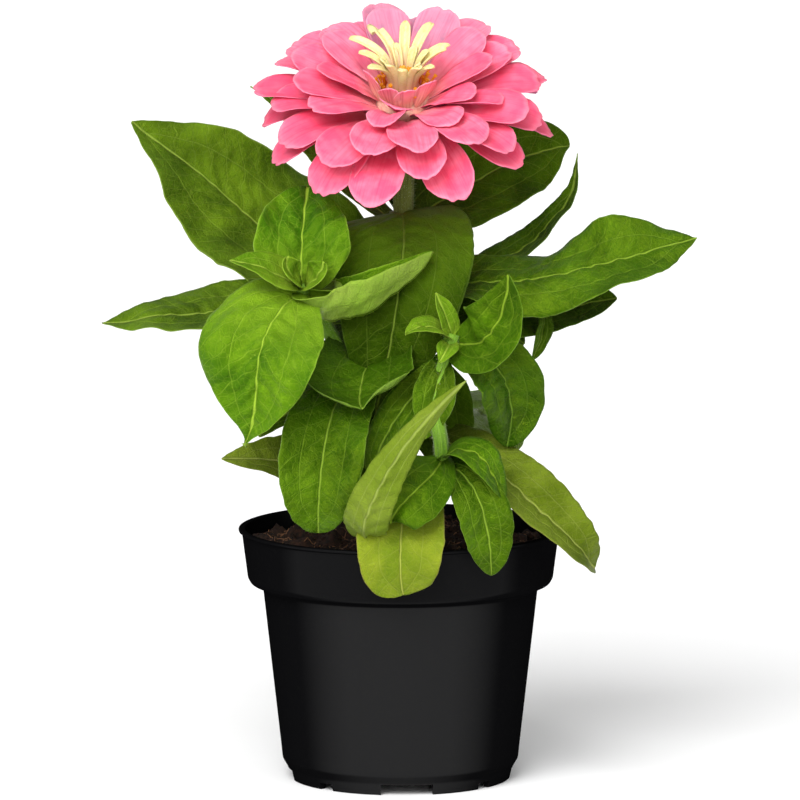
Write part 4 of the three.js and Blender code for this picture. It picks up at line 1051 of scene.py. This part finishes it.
def petal_blade(layer, turn, draw):
    """The same petal as the solid's, from the same draws, and how far behind the bloom it points."""
    angle = math.radians(turn)
    behind = abs(math.sin(angle / 2))
    rise = math.radians(blend(layer.rise, behind) + draw(-2.5, 2.5))
    reach = blend(layer.reach, behind) * draw(0.96, 1.04)
    out = way_out(angle)
    side = np.array([math.cos(angle), math.sin(angle), 0.0])
    tip = out * reach * math.cos(rise) + UP * reach * math.sin(rise) + side * draw(-1.5, 1.5)
    root = out * (CORE_RADIUS - 2.5) + UP * layer.root
    middle = 0.5 * (root + tip) + UP * layer.arch
    face = UP * math.cos(rise) - out * math.sin(rise) + side * draw(-0.18, 0.18)
    width = layer.width * math.sqrt(reach / layer.reach[1])
    fold = draw(0, 0.1)
    curl = (draw(0.1, 0.4), draw(0.1, 0.4))
    notch = draw(0, 0.04)
    blade = SimpleNamespace(
        points=[root, middle, tip], face=[face], width=width, fold=fold, curl=curl, wave=0.0,
        waves=1.0, phase=0.0, widest=0.7, base=0.28, end=0.84, notch=notch,
    )
    return blade, behind


def grow_petal(shape, blade, kind, index, settings):
    """One petal: cupped, ribbed lengthwise, with a lobed tip, as a closed thin blade."""
    chance = np.random.default_rng(PETAL_SEED + index)
    shift = chance.uniform(0, 60, 3)
    rows, columns = settings.rows, settings.columns
    share, s = np.meshgrid(np.linspace(0, 1, rows + 1), np.linspace(-1, 1, columns + 1), indexing="ij")
    u = np.abs(s)

    # The tip is rounded, with one notch and two shallow ones beside it.
    length = float(np.linalg.norm(blade.points[-1] - blade.points[0]))
    tip = min(0.42, 0.55 * blade.width / length)
    place = chance.uniform(-0.25, 0.25)
    lobe = blade.notch * np.exp(-(((s - place) / 0.17) ** 2))
    lobe += chance.uniform(0.0, 0.02) * np.exp(-(((s - place - 0.5) / 0.12) ** 2))
    lobe += chance.uniform(0.0, 0.02) * np.exp(-(((s - place + 0.5) / 0.12) ** 2))
    end = 1 - tip * (1 - np.sqrt(1 - (0.96 * u) ** 2)) - lobe
    t = share * end
    points, half = blade_surface(blade, petal_share, t, s)
    x, y = s * half, t * length

    # The petal swells and sinks, with a groove along its middle, fine ribs, and a ruffled edge, and
    # its tip bends up or down.
    normal = grid_normals(points)
    size = min(1.0, blade.width / 18)
    relief = 1.3 * size * smooth_noise(s * 0.9, t * 1.6, shift) * np.clip(t * 3, 0, 1)
    relief -= 0.35 * size * np.exp(-((x / 1.0) ** 2)) * np.clip(1.1 - t, 0, 1)
    relief += 0.09 * np.cos(2 * math.pi * x / 1.9 + shift[0]) * np.clip(half / 4, 0, 1)
    ruffle = smooth_noise(np.where(s < 0, 2.0, 7.0), t * 3.5, shift + 4)
    relief += 0.5 * size * u**3 * ruffle * np.clip(t * 3, 0, 1)
    relief += chance.uniform(-1.4, 0.6) * size * np.clip((t - 0.75) / 0.25, 0, 1) ** 2
    points = points + normal * relief[..., None]
    normal = grid_normals(points)
    thick = settings.thickness / MM * (1 - 0.4 * u**4)
    upper = in_place(points + normal * (0.5 * thick)[..., None])
    lower = in_place(points - normal * (0.5 * thick)[..., None])
    flat = vectors(x + shift[0] * 9, y, 31.0 * index)
    sort = vectors(kind[0], kind[1], share)
    add_blade(shape, upper, lower, "petal_place", s, t, 1, petal_flat=flat, petal_kind=sort)


def add_turned_base(shape, profile, rounding):
    """Adds the turned base that florets stand on, in the colour of their roots."""
    points, faces = lathe(rounded(profile, rounding), BASE_FACETS)
    flat = vectors(points[..., 0], points[..., 1], 17.0)
    shape.add(in_place(points), faces, petal_place=np.zeros_like(flat), petal_flat=flat)


class ZINNIA_OT_make_pot(Operator):
    """Mould the nursery pot: turned wall, lip and collar, with notches and holes cut in its foot"""

    bl_idname = "zinnia.make_pot"
    bl_label = "Nursery pot"

    def execute(self, context):
        settings = context.scene.zinnia_pot
        profile = [
            (0, FOOT_HEIGHT), (FOOT_INNER, FOOT_HEIGHT), (FOOT_INNER, 0), (FOOT_RADIUS, 0),
            (FOOT_RADIUS + 1, FOOT_BAND), (BODY_LOW_RADIUS - 0.2, CHAMFER_TOP),
            (BODY_LOW_RADIUS + 0.2, BODY_LOW), (BODY_TOP_RADIUS, SHOULDER - 1),
            (BODY_TOP_RADIUS + 1.6, SHOULDER), (COLLAR_LOW_RADIUS - 1.2, SHOULDER + 0.8),
            (COLLAR_LOW_RADIUS - 0.2, SHOULDER + 2.6),
            (COLLAR_TOP_RADIUS, POT_HEIGHT - LIP_DEPTH), (LIP_RADIUS, POT_HEIGHT - LIP_DEPTH + 0.3),
            (LIP_RADIUS, POT_HEIGHT - 0.3), (LIP_RADIUS - 0.5, POT_HEIGHT),
            (COLLAR_TOP_RADIUS - POT_WALL, POT_HEIGHT), *reversed(POT_INSIDE),
        ]
        points, faces = lathe(rounded(profile, settings.fillet / MM), settings.segments)
        made = new_object("pot_moulding", self.welded("pot_moulding", points.reshape(-1, 3), faces))

        # Wide deep notches and narrow shallow ones by turns round the foot, then the drainage holes.
        for i in range(NOTCHES.count):
            width, depth = NOTCHES.widths[i % 2], NOTCHES.depths[i % 2]
            angle = 2 * math.pi * i / NOTCHES.count + NOTCHES.turn
            signs = [(x, y, z) for x in (-1, 1) for y in (-1, 1) for z in (-1, 1)]
            corners = np.array([(x * width / 2, y * 4 - FOOT_RADIUS, z * depth) for x, y, z in signs])
            turn = np.array([
                (math.cos(angle), math.sin(angle), 0), (-math.sin(angle), math.cos(angle), 0), (0, 0, 1),
            ])
            box = [(0, 1, 3, 2), (4, 6, 7, 5), (0, 4, 5, 1), (2, 3, 7, 6), (0, 2, 6, 4), (1, 5, 7, 3)]
            self.cut(context, made, corners @ turn, box)
        for i in range(DRAIN_HOLES.count):
            angle = 2 * math.pi * i / DRAIN_HOLES.count
            centre = np.array([DRAIN_HOLES.circle * math.cos(angle), DRAIN_HOLES.circle * math.sin(angle), 0])
            radius, top = DRAIN_HOLES.radius, FLOOR_TOP + 2.5
            points, faces = lathe([(0, 0), (radius, 0), (radius, top), (0, top)], HOLE_FACETS)
            self.cut(context, made, points.reshape(-1, 3) + centre, faces)
        mesh = made.data
        mesh.polygons.foreach_set("use_smooth", [True] * len(mesh.polygons))
        mesh.set_sharp_from_angle(angle=SHARP_ANGLE)
        black = make_material("Polypropylene, moulded black satin", moulded_polypropylene, settings)
        mesh.materials.append(black)
        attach(made, BODY)
        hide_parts("pot")
        return {"FINISHED"}

    def welded(self, name, points, faces):
        """A closed mesh: points that meet, as those on a turned shape's axis do, are merged."""
        mesh = new_mesh(name, points, faces)
        work = bmesh.new()
        work.from_mesh(mesh)
        bmesh.ops.remove_doubles(work, verts=work.verts, dist=1e-6)
        bmesh.ops.recalc_face_normals(work, faces=work.faces)
        work.to_mesh(mesh)
        work.free()
        return mesh

    def cut(self, context, made, points, faces):
        """Cuts a closed shape, given in millimetres, out of the piece."""
        cutter = new_object("cutter", self.welded("cutter", points, faces))
        modifier = made.modifiers.new("cut", "BOOLEAN")
        modifier.operation, modifier.solver, modifier.object = "DIFFERENCE", "EXACT", cutter
        context.view_layer.update()
        result = made.evaluated_get(context.evaluated_depsgraph_get())
        cut = bpy.data.meshes.new_from_object(result)
        made.modifiers.clear()
        made.data = cut
        bpy.data.objects.remove(cutter)


class ZINNIA_OT_fill_soil(Operator):
    """Fill the pot with potting soil: a lumpy bed, loose crumbs and peat fibres"""

    bl_idname = "zinnia.fill_soil"
    bl_label = "Potting soil"

    def execute(self, context):
        settings = context.scene.zinnia_soil
        material = make_material("Peat potting soil, damp crumbs", potting_soil, settings)
        rough = settings.roughness / MM
        edge_level = SOIL_LEVEL - 2
        rise = (edge_level - SHOULDER - LEDGE_RISE) / (POT_HEIGHT - SHOULDER - LEDGE_RISE)
        edge = LEDGE_RADIUS + (COLLAR_TOP_RADIUS - POT_WALL - LEDGE_RADIUS) * rise - 1.5 * CLEARANCE
        side = [(max(0.0, r - 1.5 * CLEARANCE), z + CLEARANCE) for r, z in POT_INSIDE] + [(edge, edge_level)]
        top = [(edge * (1 - k / SOIL_RINGS) ** 0.9, SOIL_LEVEL) for k in range(1, SOIL_RINGS + 1)]
        points, faces = lathe(side + top, SOIL_FACETS)
        surface = points[len(side):]
        surface[..., 2] = self.height_at(surface[..., 0], surface[..., 1], rough)
        shape = Shape()
        shape.add(points, faces)
        shape.piece("soil_bed", material, "soil", "soil")
        self.scatter(settings, material, edge, rough)
        return {"FINISHED"}

    def height_at(self, x, y, rough):
        """The bed's height: the solid's own clods, and smaller lumps on them."""
        clods = np.sin(0.23 * x + 1) * np.cos(0.21 * y) + 0.5 * np.sin(0.19 * y + 0.27 * x + 2)
        lumps = smooth_noise(x * 0.22, y * 0.22, (0, 0, 4)) + 0.6 * smooth_noise(x * 0.6, y * 0.6, (0, 0, 9))
        height = SOIL_LEVEL + SOIL_BUMP * clods - 0.012 * x + rough * lumps
        for stem_x, stem_y, radius in STEM_HOLES:
            gap = np.hypot(x - stem_x, y - stem_y) - radius
            height = height - 1.6 * np.exp(-((np.clip(gap, 0, None) / 1.6) ** 2))
        return height

    def scatter(self, settings, material, edge, rough):
        """Loose crumbs and fibres that lie on the bed."""
        chance = np.random.default_rng(CRUMB_SEED)
        crumbs, fibres = Shape(), Shape()
        corners, sides = crumb_corners()
        for x, y in self.places(chance, settings.clods, edge - 1.5, 2.5):
            size = chance.uniform(0.5, 1.0) * chance.uniform(0.6, 2.2)
            z = float(self.height_at(np.array([x]), np.array([y]), rough)[0]) + 0.25 * size
            shaped = corners * chance.uniform(0.7, 1.2, (len(corners), 1)) * size
            shaped = shaped * chance.uniform(0.6, 1.1, 3)
            crumbs.add(shaped @ random_turn(chance) + (x, y, z), sides)
        crumbs.piece("soil_crumbs", material, "soil", "soil", smooth=False)
        for x, y in self.places(chance, settings.fibres, edge - 5, 5.5):
            way, length = chance.uniform(0, 2 * math.pi), chance.uniform(2.5, 7)
            bend = chance.uniform(-0.8, 0.8)
            share = np.linspace(-0.5, 0.5, 7)
            run = np.stack([
                x + length * share * math.cos(way) - bend * share**2 * length * math.sin(way),
                y + length * share * math.sin(way) + bend * share**2 * length * math.cos(way),
            ], axis=-1)
            run = run * np.minimum(1, (edge - 1.5) / np.maximum(1, np.hypot(run[:, 0], run[:, 1])))[:, None]
            z = self.height_at(run[:, 0], run[:, 1], rough) + 0.2 + chance.uniform(0, 0.9) * (0.25 - share**2)
            tube(fibres, np.column_stack([run, z]), np.full(7, chance.uniform(0.1, 0.24)), sides=5)
        fibres.piece("soil_fibres", make_material("Peat fibre, dry", peat_fibre), "soil", "soil")

    def places(self, chance, number, reach, room):
        """Random places on the bed, within reach of its middle and with room round the stems."""
        for _ in range(number):
            angle, far = chance.uniform(0, 2 * math.pi), reach * math.sqrt(chance.uniform(0.02, 1))
            x, y = far * math.cos(angle), far * math.sin(angle)
            if all(math.hypot(x - a, y - b) >= radius + room for a, b, radius in STEM_HOLES):
                yield x, y


def crumb_corners():
    """Corners and faces of a rough crumb, before each is stretched its own way."""
    golden = (1 + math.sqrt(5)) / 2
    corners = [(0, a, b * golden) for a in (-1, 1) for b in (-1, 1)]
    corners += [(a, b * golden, 0) for a in (-1, 1) for b in (-1, 1)]
    corners += [(b * golden, 0, a) for a in (-1, 1) for b in (-1, 1)]
    corners = np.array(corners, float) / math.hypot(1, golden)
    faces = []
    for i in range(12):
        for j in range(i + 1, 12):
            for k in range(j + 1, 12):
                sides = [np.linalg.norm(corners[a] - corners[b]) for a, b in ((i, j), (j, k), (i, k))]
                if max(sides) < 1.1:
                    normal = np.cross(corners[j] - corners[i], corners[k] - corners[i])
                    faces.append((i, j, k) if np.dot(normal, corners[i]) > 0 else (i, k, j))
    return corners, faces


def random_turn(chance):
    """A rotation drawn evenly from all of them."""
    w, x, y, z = unit(chance.normal(size=4))
    return np.array([
        (1 - 2 * (y * y + z * z), 2 * (x * y - w * z), 2 * (x * z + w * y)),
        (2 * (x * y + w * z), 1 - 2 * (x * x + z * z), 2 * (y * z - w * x)),
        (2 * (x * z - w * y), 2 * (y * z + w * x), 1 - 2 * (x * x + y * y)),
    ])


class ZINNIA_OT_grow_main_stem(Operator):
    """Grow the main stem, its leaves, the side shoot's rosette and the bract cup under the bloom"""

    bl_idname = "zinnia.grow_main_stem"
    bl_label = "Main stem and leaves"

    def execute(self, context):
        stem = [(MAIN_STEM, MAIN_STEM_RADIUS, 1.0), (PEDUNCLE, PEDUNCLE_RADIUS, 1.3)]
        side = [(SIDE_SHOOT_STEM, SIDE_STEM_RADIUS, 1.0), (BACK_TWIG, TWIG_RADIUS, 0.8)]
        grow_stems("main_stalk", stem, "main_stem", "hairy")
        grow_stems("side_shoot_stalk", side, "main_stem", "young")
        grow_leaves("main_leaf_{:02d}", MAIN_LEAVES, MAIN_FIRST, "main_stem")
        grow_leaves("rosette_leaf_{}", SIDE_SHOOT_LEAVES, ROSETTE_FIRST, "main_stem")
        self.grow_bracts()
        return {"FINISHED"}

    def grow_bracts(self):
        """The cup under the petals: a turned core wrapped in rows of rounded, overlapping bracts."""
        core = [
            (0, -20), (3.6, -20), (7.0, -15.5), (8.8, -11.5), (9.2, CORE_LOW - CLEARANCE - 1.2),
            (8.6, CORE_LOW - CLEARANCE), (0, CORE_LOW - CLEARANCE),
        ]
        points, faces = lathe(rounded(core, 1.5), BASE_FACETS)
        shape = Shape()
        shape.add(in_place(points), faces, stem_flat=points)
        shape.piece("bract_cup", stem_material("young"), "main_stem", "leaf")
        number = 0
        bracts = Shape()
        for count, low, inner, high, width in BRACT_ROWS:
            for i in range(count):
                angle = 2 * math.pi * (i + 0.5 * (number % 2)) / count
                out = way_out(angle)
                blade = leaf(
                    [out * inner + UP * low, out * (inner + 3.3) + UP * (0.5 * (low + high) - 0.6),
                     out * (inner + 3.7) + UP * high],
                    width, [out], "leafy", fold=-0.1, curl=(-0.7, -0.7), taper=0.55, widest=0.6, base=0.7,
                )
                self.add_bract(bracts, blade, number)
                number += 1
        bracts.piece("bracts", leaf_material("leafy"), "main_stem", "leaf")

    def add_bract(self, shape, blade, number):
        """One bract of the cup, added to the piece that holds them all."""
        rows, columns = BRACT_GRID
        t, s = np.meshgrid(np.linspace(0, 0.99, rows + 1), np.linspace(-1, 1, columns + 1), indexing="ij")
        points, half = blade_surface(blade, leaf_share, t, s)
        normal = grid_normals(points)
        upper, lower = in_place(points + normal * HALF_BLADE), in_place(points - normal * HALF_BLADE)
        lines = vectors(s * half + 4, s * half + 4, 4)
        flat = vectors(s * half, t * 8, 11.0 * number)
        add_blade(shape, upper, lower, "leaf_place", s, t, 0, leaf_flat=flat, vein_lines=lines)


class ZINNIA_OT_grow_right_shoot(Operator):
    """Grow the right shoot: a hairy young stem with leaves in pairs"""

    bl_idname = "zinnia.grow_right_shoot"
    bl_label = "Right shoot"

    def execute(self, context):
        grow_stems("right_stalk", [(RIGHT_STEM, SIDE_STEM_RADIUS, 1.2)], "right_shoot", "young")
        grow_leaves("right_leaf_{:02d}", RIGHT_SHOOT_LEAVES, RIGHT_FIRST, "right_shoot")
        return {"FINISHED"}


class ZINNIA_OT_grow_low_shoot(Operator):
    """Grow the low shoot at the front, with the leaf that hangs over the rim"""

    bl_idname = "zinnia.grow_low_shoot"
    bl_label = "Low shoot"

    def execute(self, context):
        grow_stems("low_stalk", [(LOW_STEM, SIDE_STEM_RADIUS, 1.0)], "low_shoot", "young")
        grow_leaves("low_leaf_{}", LOW_SHOOT_LEAVES, LOW_FIRST, "low_shoot")
        return {"FINISHED"}


class ZINNIA_OT_grow_ray_petals(Operator):
    """Grow the ray petals, layer by layer, on the pink core"""

    bl_idname = "zinnia.grow_ray_petals"
    bl_label = "Ray petals"

    def execute(self, context):
        settings = context.scene.zinnia_bloom
        material = make_material("Zinnia ray petal, velvety", petal_velvet, settings)
        draw = seeded(PETAL_DRAW)
        index = 0
        for number, layer in enumerate(PETAL_LAYERS):
            shape = Shape()
            for turn in layer.turns:
                blade, behind = petal_blade(layer, turn, draw)
                inner = float(number == len(PETAL_LAYERS) - 1)
                # Petals behind lean to pink, and those that point to the sides lean to the deeper colour that
                # is painted shade.
                beside = math.sin(math.radians(turn))
                pink_and_side_shade = min(1.0, 0.1 * number + 0.9 * behind**4 - 0.9 * beside**2)
                grow_petal(shape, blade, (pink_and_side_shade, inner), index, settings)
                index += 1
            shape.piece(f"ray_petals_layer_{number + 1}", material, "ray_petals", "petal")
        core = [
            (0, CORE_LOW), (CORE_RADIUS - 1.5, CORE_LOW), (CORE_RADIUS - 0.6, CORE_LOW + 2),
            (CORE_RADIUS - 1, CORE_TOP - 3), (CORE_RADIUS - 2.4, CORE_TOP), (0, CORE_TOP),
        ]
        points, faces = lathe(rounded(core, 1.5), CORE_FACETS)
        shape = Shape()
        same = np.ones_like(points)
        shape.add(
            in_place(points), faces, petal_place=same * (0, 0.2, 0), petal_flat=points,
            petal_kind=same * (0.3, 1, 0),
        )
        shape.piece("receptacle", material, "ray_petals", "petal")
        return {"FINISHED"}


class ZINNIA_OT_grow_cream_florets(Operator):
    """Grow the cream florets: curled straps in two rings round the middle of the bloom"""

    bl_idname = "zinnia.grow_cream_florets"
    bl_label = "Cream florets"

    def execute(self, context):
        material = make_material("Zinnia floret strap, waxy cream", floret_tissue, *CREAM_COLOURS)
        draw = seeded(CREAM_DRAW)
        shape = Shape()
        low, top = CREAM_RING.low, CREAM_RING.low + CREAM_RING.height
        inner, outer = CREAM_RING.inner, CREAM_RING.outer
        add_turned_base(shape, [(inner, low), (outer, low), (outer, top), (inner, top), (inner, low)], 0.5)
        number = 0
        for ring in CREAM_RINGS:
            for i in range(ring.count):
                angle = 2 * math.pi * (i + draw(-0.2, 0.2)) / ring.count
                out = way_out(angle)
                behind = abs(math.sin(angle / 2))
                spread = 1 + LEFT_SPREAD * max(0, -out[0])
                lean = math.radians(blend(ring.lean, behind) * spread * draw(0.8, 1.3))
                tall = blend(ring.height, behind) * draw(0.8, 1.1)
                root = out * ring.circle + UP * (low + 0.4)
                middle = out * (ring.circle + 0.2 * tall * math.sin(lean)) + UP * (low + 0.5 * tall)
                tip = out * (ring.circle + tall * math.sin(lean)) + UP * (low + tall * math.cos(lean))
                blade = SimpleNamespace(
                    points=[root, middle, tip], face=[-out], width=ring.width * 1.1, fold=0.25,
                    curl=(0.75, 0.75), wave=0.0, waves=1.0, phase=0.0, widest=0.75, base=0.62, end=0.88,
                )
                self.add_strap(shape, blade, number)
                number += 1
        shape.piece("cream_floret_straps", material, "cream_florets", "cream_floret")
        return {"FINISHED"}

    def add_strap(self, shape, blade, number):
        """One strap: curled lengthwise, blunt and notched at its tip."""
        rows, columns = STRAP_GRID
        chance = np.random.default_rng(STRAP_SEED + number)
        share, s = np.meshgrid(np.linspace(0, 1, rows + 1), np.linspace(-1, 1, columns + 1), indexing="ij")
        t = share * (1 - 0.11 * np.abs(s) ** 2.5 - chance.uniform(0, 0.03) * np.exp(-((s / 0.3) ** 2)))
        points, half = blade_surface(blade, petal_share, t, s)
        normal = grid_normals(points)
        points += normal * (0.5 * smooth_noise(s * 0.6, t * 2, chance.uniform(0, 40, 3)) * t)[..., None]
        normal = grid_normals(points)
        upper, lower = in_place(points + normal * HALF_BLADE), in_place(points - normal * HALF_BLADE)
        flat = vectors(s * half, t * 20, 17.0 * number)
        add_blade(shape, upper, lower, "petal_place", 0, t, 0, petal_flat=flat)


class ZINNIA_OT_grow_disc_florets(Operator):
    """Grow the orange disc florets: small tubes that open in five lobes, on the disc"""

    bl_idname = "zinnia.grow_disc_florets"
    bl_label = "Disc florets"

    def execute(self, context):
        material = make_material("Zinnia disc floret, orange", floret_tissue, *ORANGE_COLOURS)
        draw = seeded(DISC_DRAW)
        shape = Shape()
        rim, boss_top = DISC.low + DISC.height, DISC.low + DISC.boss_height
        add_turned_base(shape, [
            (0, DISC.low), (DISC.radius, DISC.low), (DISC.radius, rim), (DISC.boss, rim + DISC.crown),
            (DISC.boss - 0.6, boss_top), (0, boss_top),
        ], 0.4)
        number = 0
        for ring in DISC_RINGS:
            for i in range(ring.count):
                tall = ring.height * draw(0.75, 1.2)
                turn = 2 * math.pi * (i + draw(-0.25, 0.25)) / ring.count
                self.add_floret(shape, ring, tall, turn, number)
                number += 1
        shape.piece("disc_floret_tubes", material, "disc_florets", "orange_floret")
        return {"FINISHED"}

    def add_floret(self, shape, ring, tall, turn, number):
        """One floret: a slim tube that flares into five small lobes, with a pollen tip in it."""
        chance = np.random.default_rng(FLORET_SEED + number)
        profile = [(ring.radius * wide, tall * high) for wide, high in FLORET_PROFILE]
        points, faces = lathe(rounded(profile, 0.2, 2), FLORET_FACETS)
        angle = np.linspace(0, 2 * math.pi, FLORET_FACETS, endpoint=False)
        flare = np.clip(points[..., 2] / tall - 0.7, 0, 1) / 0.3
        reach = 1 + 0.3 * flare * np.cos(5 * angle + chance.uniform(0, 6))
        points = points * vectors(reach, reach, 1)
        t = np.clip(points[..., 2] / tall, 0, 1)
        flat = vectors(points[..., 0], points[..., 2], 17.0 * number)
        lean = math.radians(ring.lean)
        x, y, z = points[..., 0], points[..., 1], points[..., 2]
        y, z = turned(y, z, lean)
        y, z = y - ring.circle, z + DISC.low + 0.5
        points = in_place(vectors(*turned(x, y, turn), z))
        shape.add(points, faces, petal_place=vectors(0, t, 0), petal_flat=flat)


class ZINNIA_OT_set_stage(Operator):
    """Lay the white floor, hang the soft lamps and stand the camera where the photograph was taken"""

    bl_idname = "zinnia.set_stage"
    bl_label = "Stage"

    def execute(self, context):
        settings = context.scene.zinnia_stage
        mesh = bpy.data.meshes.new("floor")
        corners = [(x * FLOOR_REACH, y * FLOOR_REACH, 0) for x, y in ((-1, -1), (1, -1), (1, 1), (-1, 1))]
        mesh.from_pydata(corners, [], [(0, 1, 2, 3)])
        mesh.materials.append(make_material("Background paper, matt white", floor_paper))
        floor = new_object("floor", mesh)
        for name, (place, angle, strength) in LAMPS.items():
            self.add_lamp(name, place, math.radians(angle), strength * settings.light)
        world = bpy.data.worlds.new("studio")
        world.use_nodes = True
        world.node_tree.nodes.clear()
        sky = add(world.node_tree, "Background", {"Color": (1, 1, 1, 1), "Strength": SKY_STRENGTH})
        add(world.node_tree, "OutputWorld", {"Surface": sky})
        context.scene.world = world
        context.scene.view_settings.view_transform = "Standard"
        self.set_camera(context, settings)
        return {"FINISHED"}

    def add_lamp(self, name, place, angle, strength):
        """One far, wide softbox: it lights floor and plant evenly, and its shadows are soft."""
        light = bpy.data.lights.new(name, "SUN")
        light.angle, light.energy = angle, strength
        lamp = new_object(name, light)
        lamp.location = place
        lamp.rotation_mode = "QUATERNION"
        lamp.rotation_quaternion = (-Vector(place)).to_track_quat("-Z", "Y")

    def set_camera(self, context, settings):
        """The camera of the photograph."""
        camera = bpy.data.cameras.new("camera")
        camera.lens, camera.sensor_width = settings.lens, 36
        camera.clip_start, camera.clip_end = 0.1, 30
        holder = new_object("camera", camera)
        holder.location = settings.camera
        holder.rotation_euler = (math.pi / 2 - settings.tilt, 0, 0)
        context.scene.camera = holder


class ZINNIA_PT_panel(Panel):
    """The zinnia's settings and steps in the sidebar"""

    bl_label = "Potted zinnia"
    bl_space_type = "VIEW_3D"
    bl_region_type = "UI"
    bl_category = "Zinnia"

    def draw(self, context):
        layout = self.layout
        for name, group in SETTINGS.items():
            box = layout.box()
            box.label(text=group.__doc__)
            for key in group.__annotations__:
                box.prop(getattr(context.scene, name), key)
        for step in STEPS:
            layout.operator(step.bl_idname)


SETTINGS = {
    "zinnia_pot": PotSettings,
    "zinnia_soil": SoilSettings,
    "zinnia_foliage": FoliageSettings,
    "zinnia_bloom": BloomSettings,
    "zinnia_stage": StageSettings,
}
STEPS = (
    ZINNIA_OT_make_pot,
    ZINNIA_OT_fill_soil,
    ZINNIA_OT_grow_main_stem,
    ZINNIA_OT_grow_right_shoot,
    ZINNIA_OT_grow_low_shoot,
    ZINNIA_OT_grow_ray_petals,
    ZINNIA_OT_grow_cream_florets,
    ZINNIA_OT_grow_disc_florets,
    ZINNIA_OT_set_stage,
)
CLASSES = (*SETTINGS.values(), *STEPS, ZINNIA_PT_panel)


def register():
    """Registers the classes and puts the settings on the scene."""
    for cls in CLASSES:
        bpy.utils.register_class(cls)
    for name, group in SETTINGS.items():
        setattr(bpy.types.Scene, name, PointerProperty(type=group))


def unregister():
    """Takes the settings off the scene and unregisters the classes."""
    for name in SETTINGS:
        delattr(bpy.types.Scene, name)
    for cls in reversed(CLASSES):
        bpy.utils.unregister_class(cls)


def main():
    register()
    for step in STEPS:
        group, action = step.bl_idname.split(".")
        getattr(getattr(bpy.ops, group), action)()


if __name__ == "__main__":
    main()
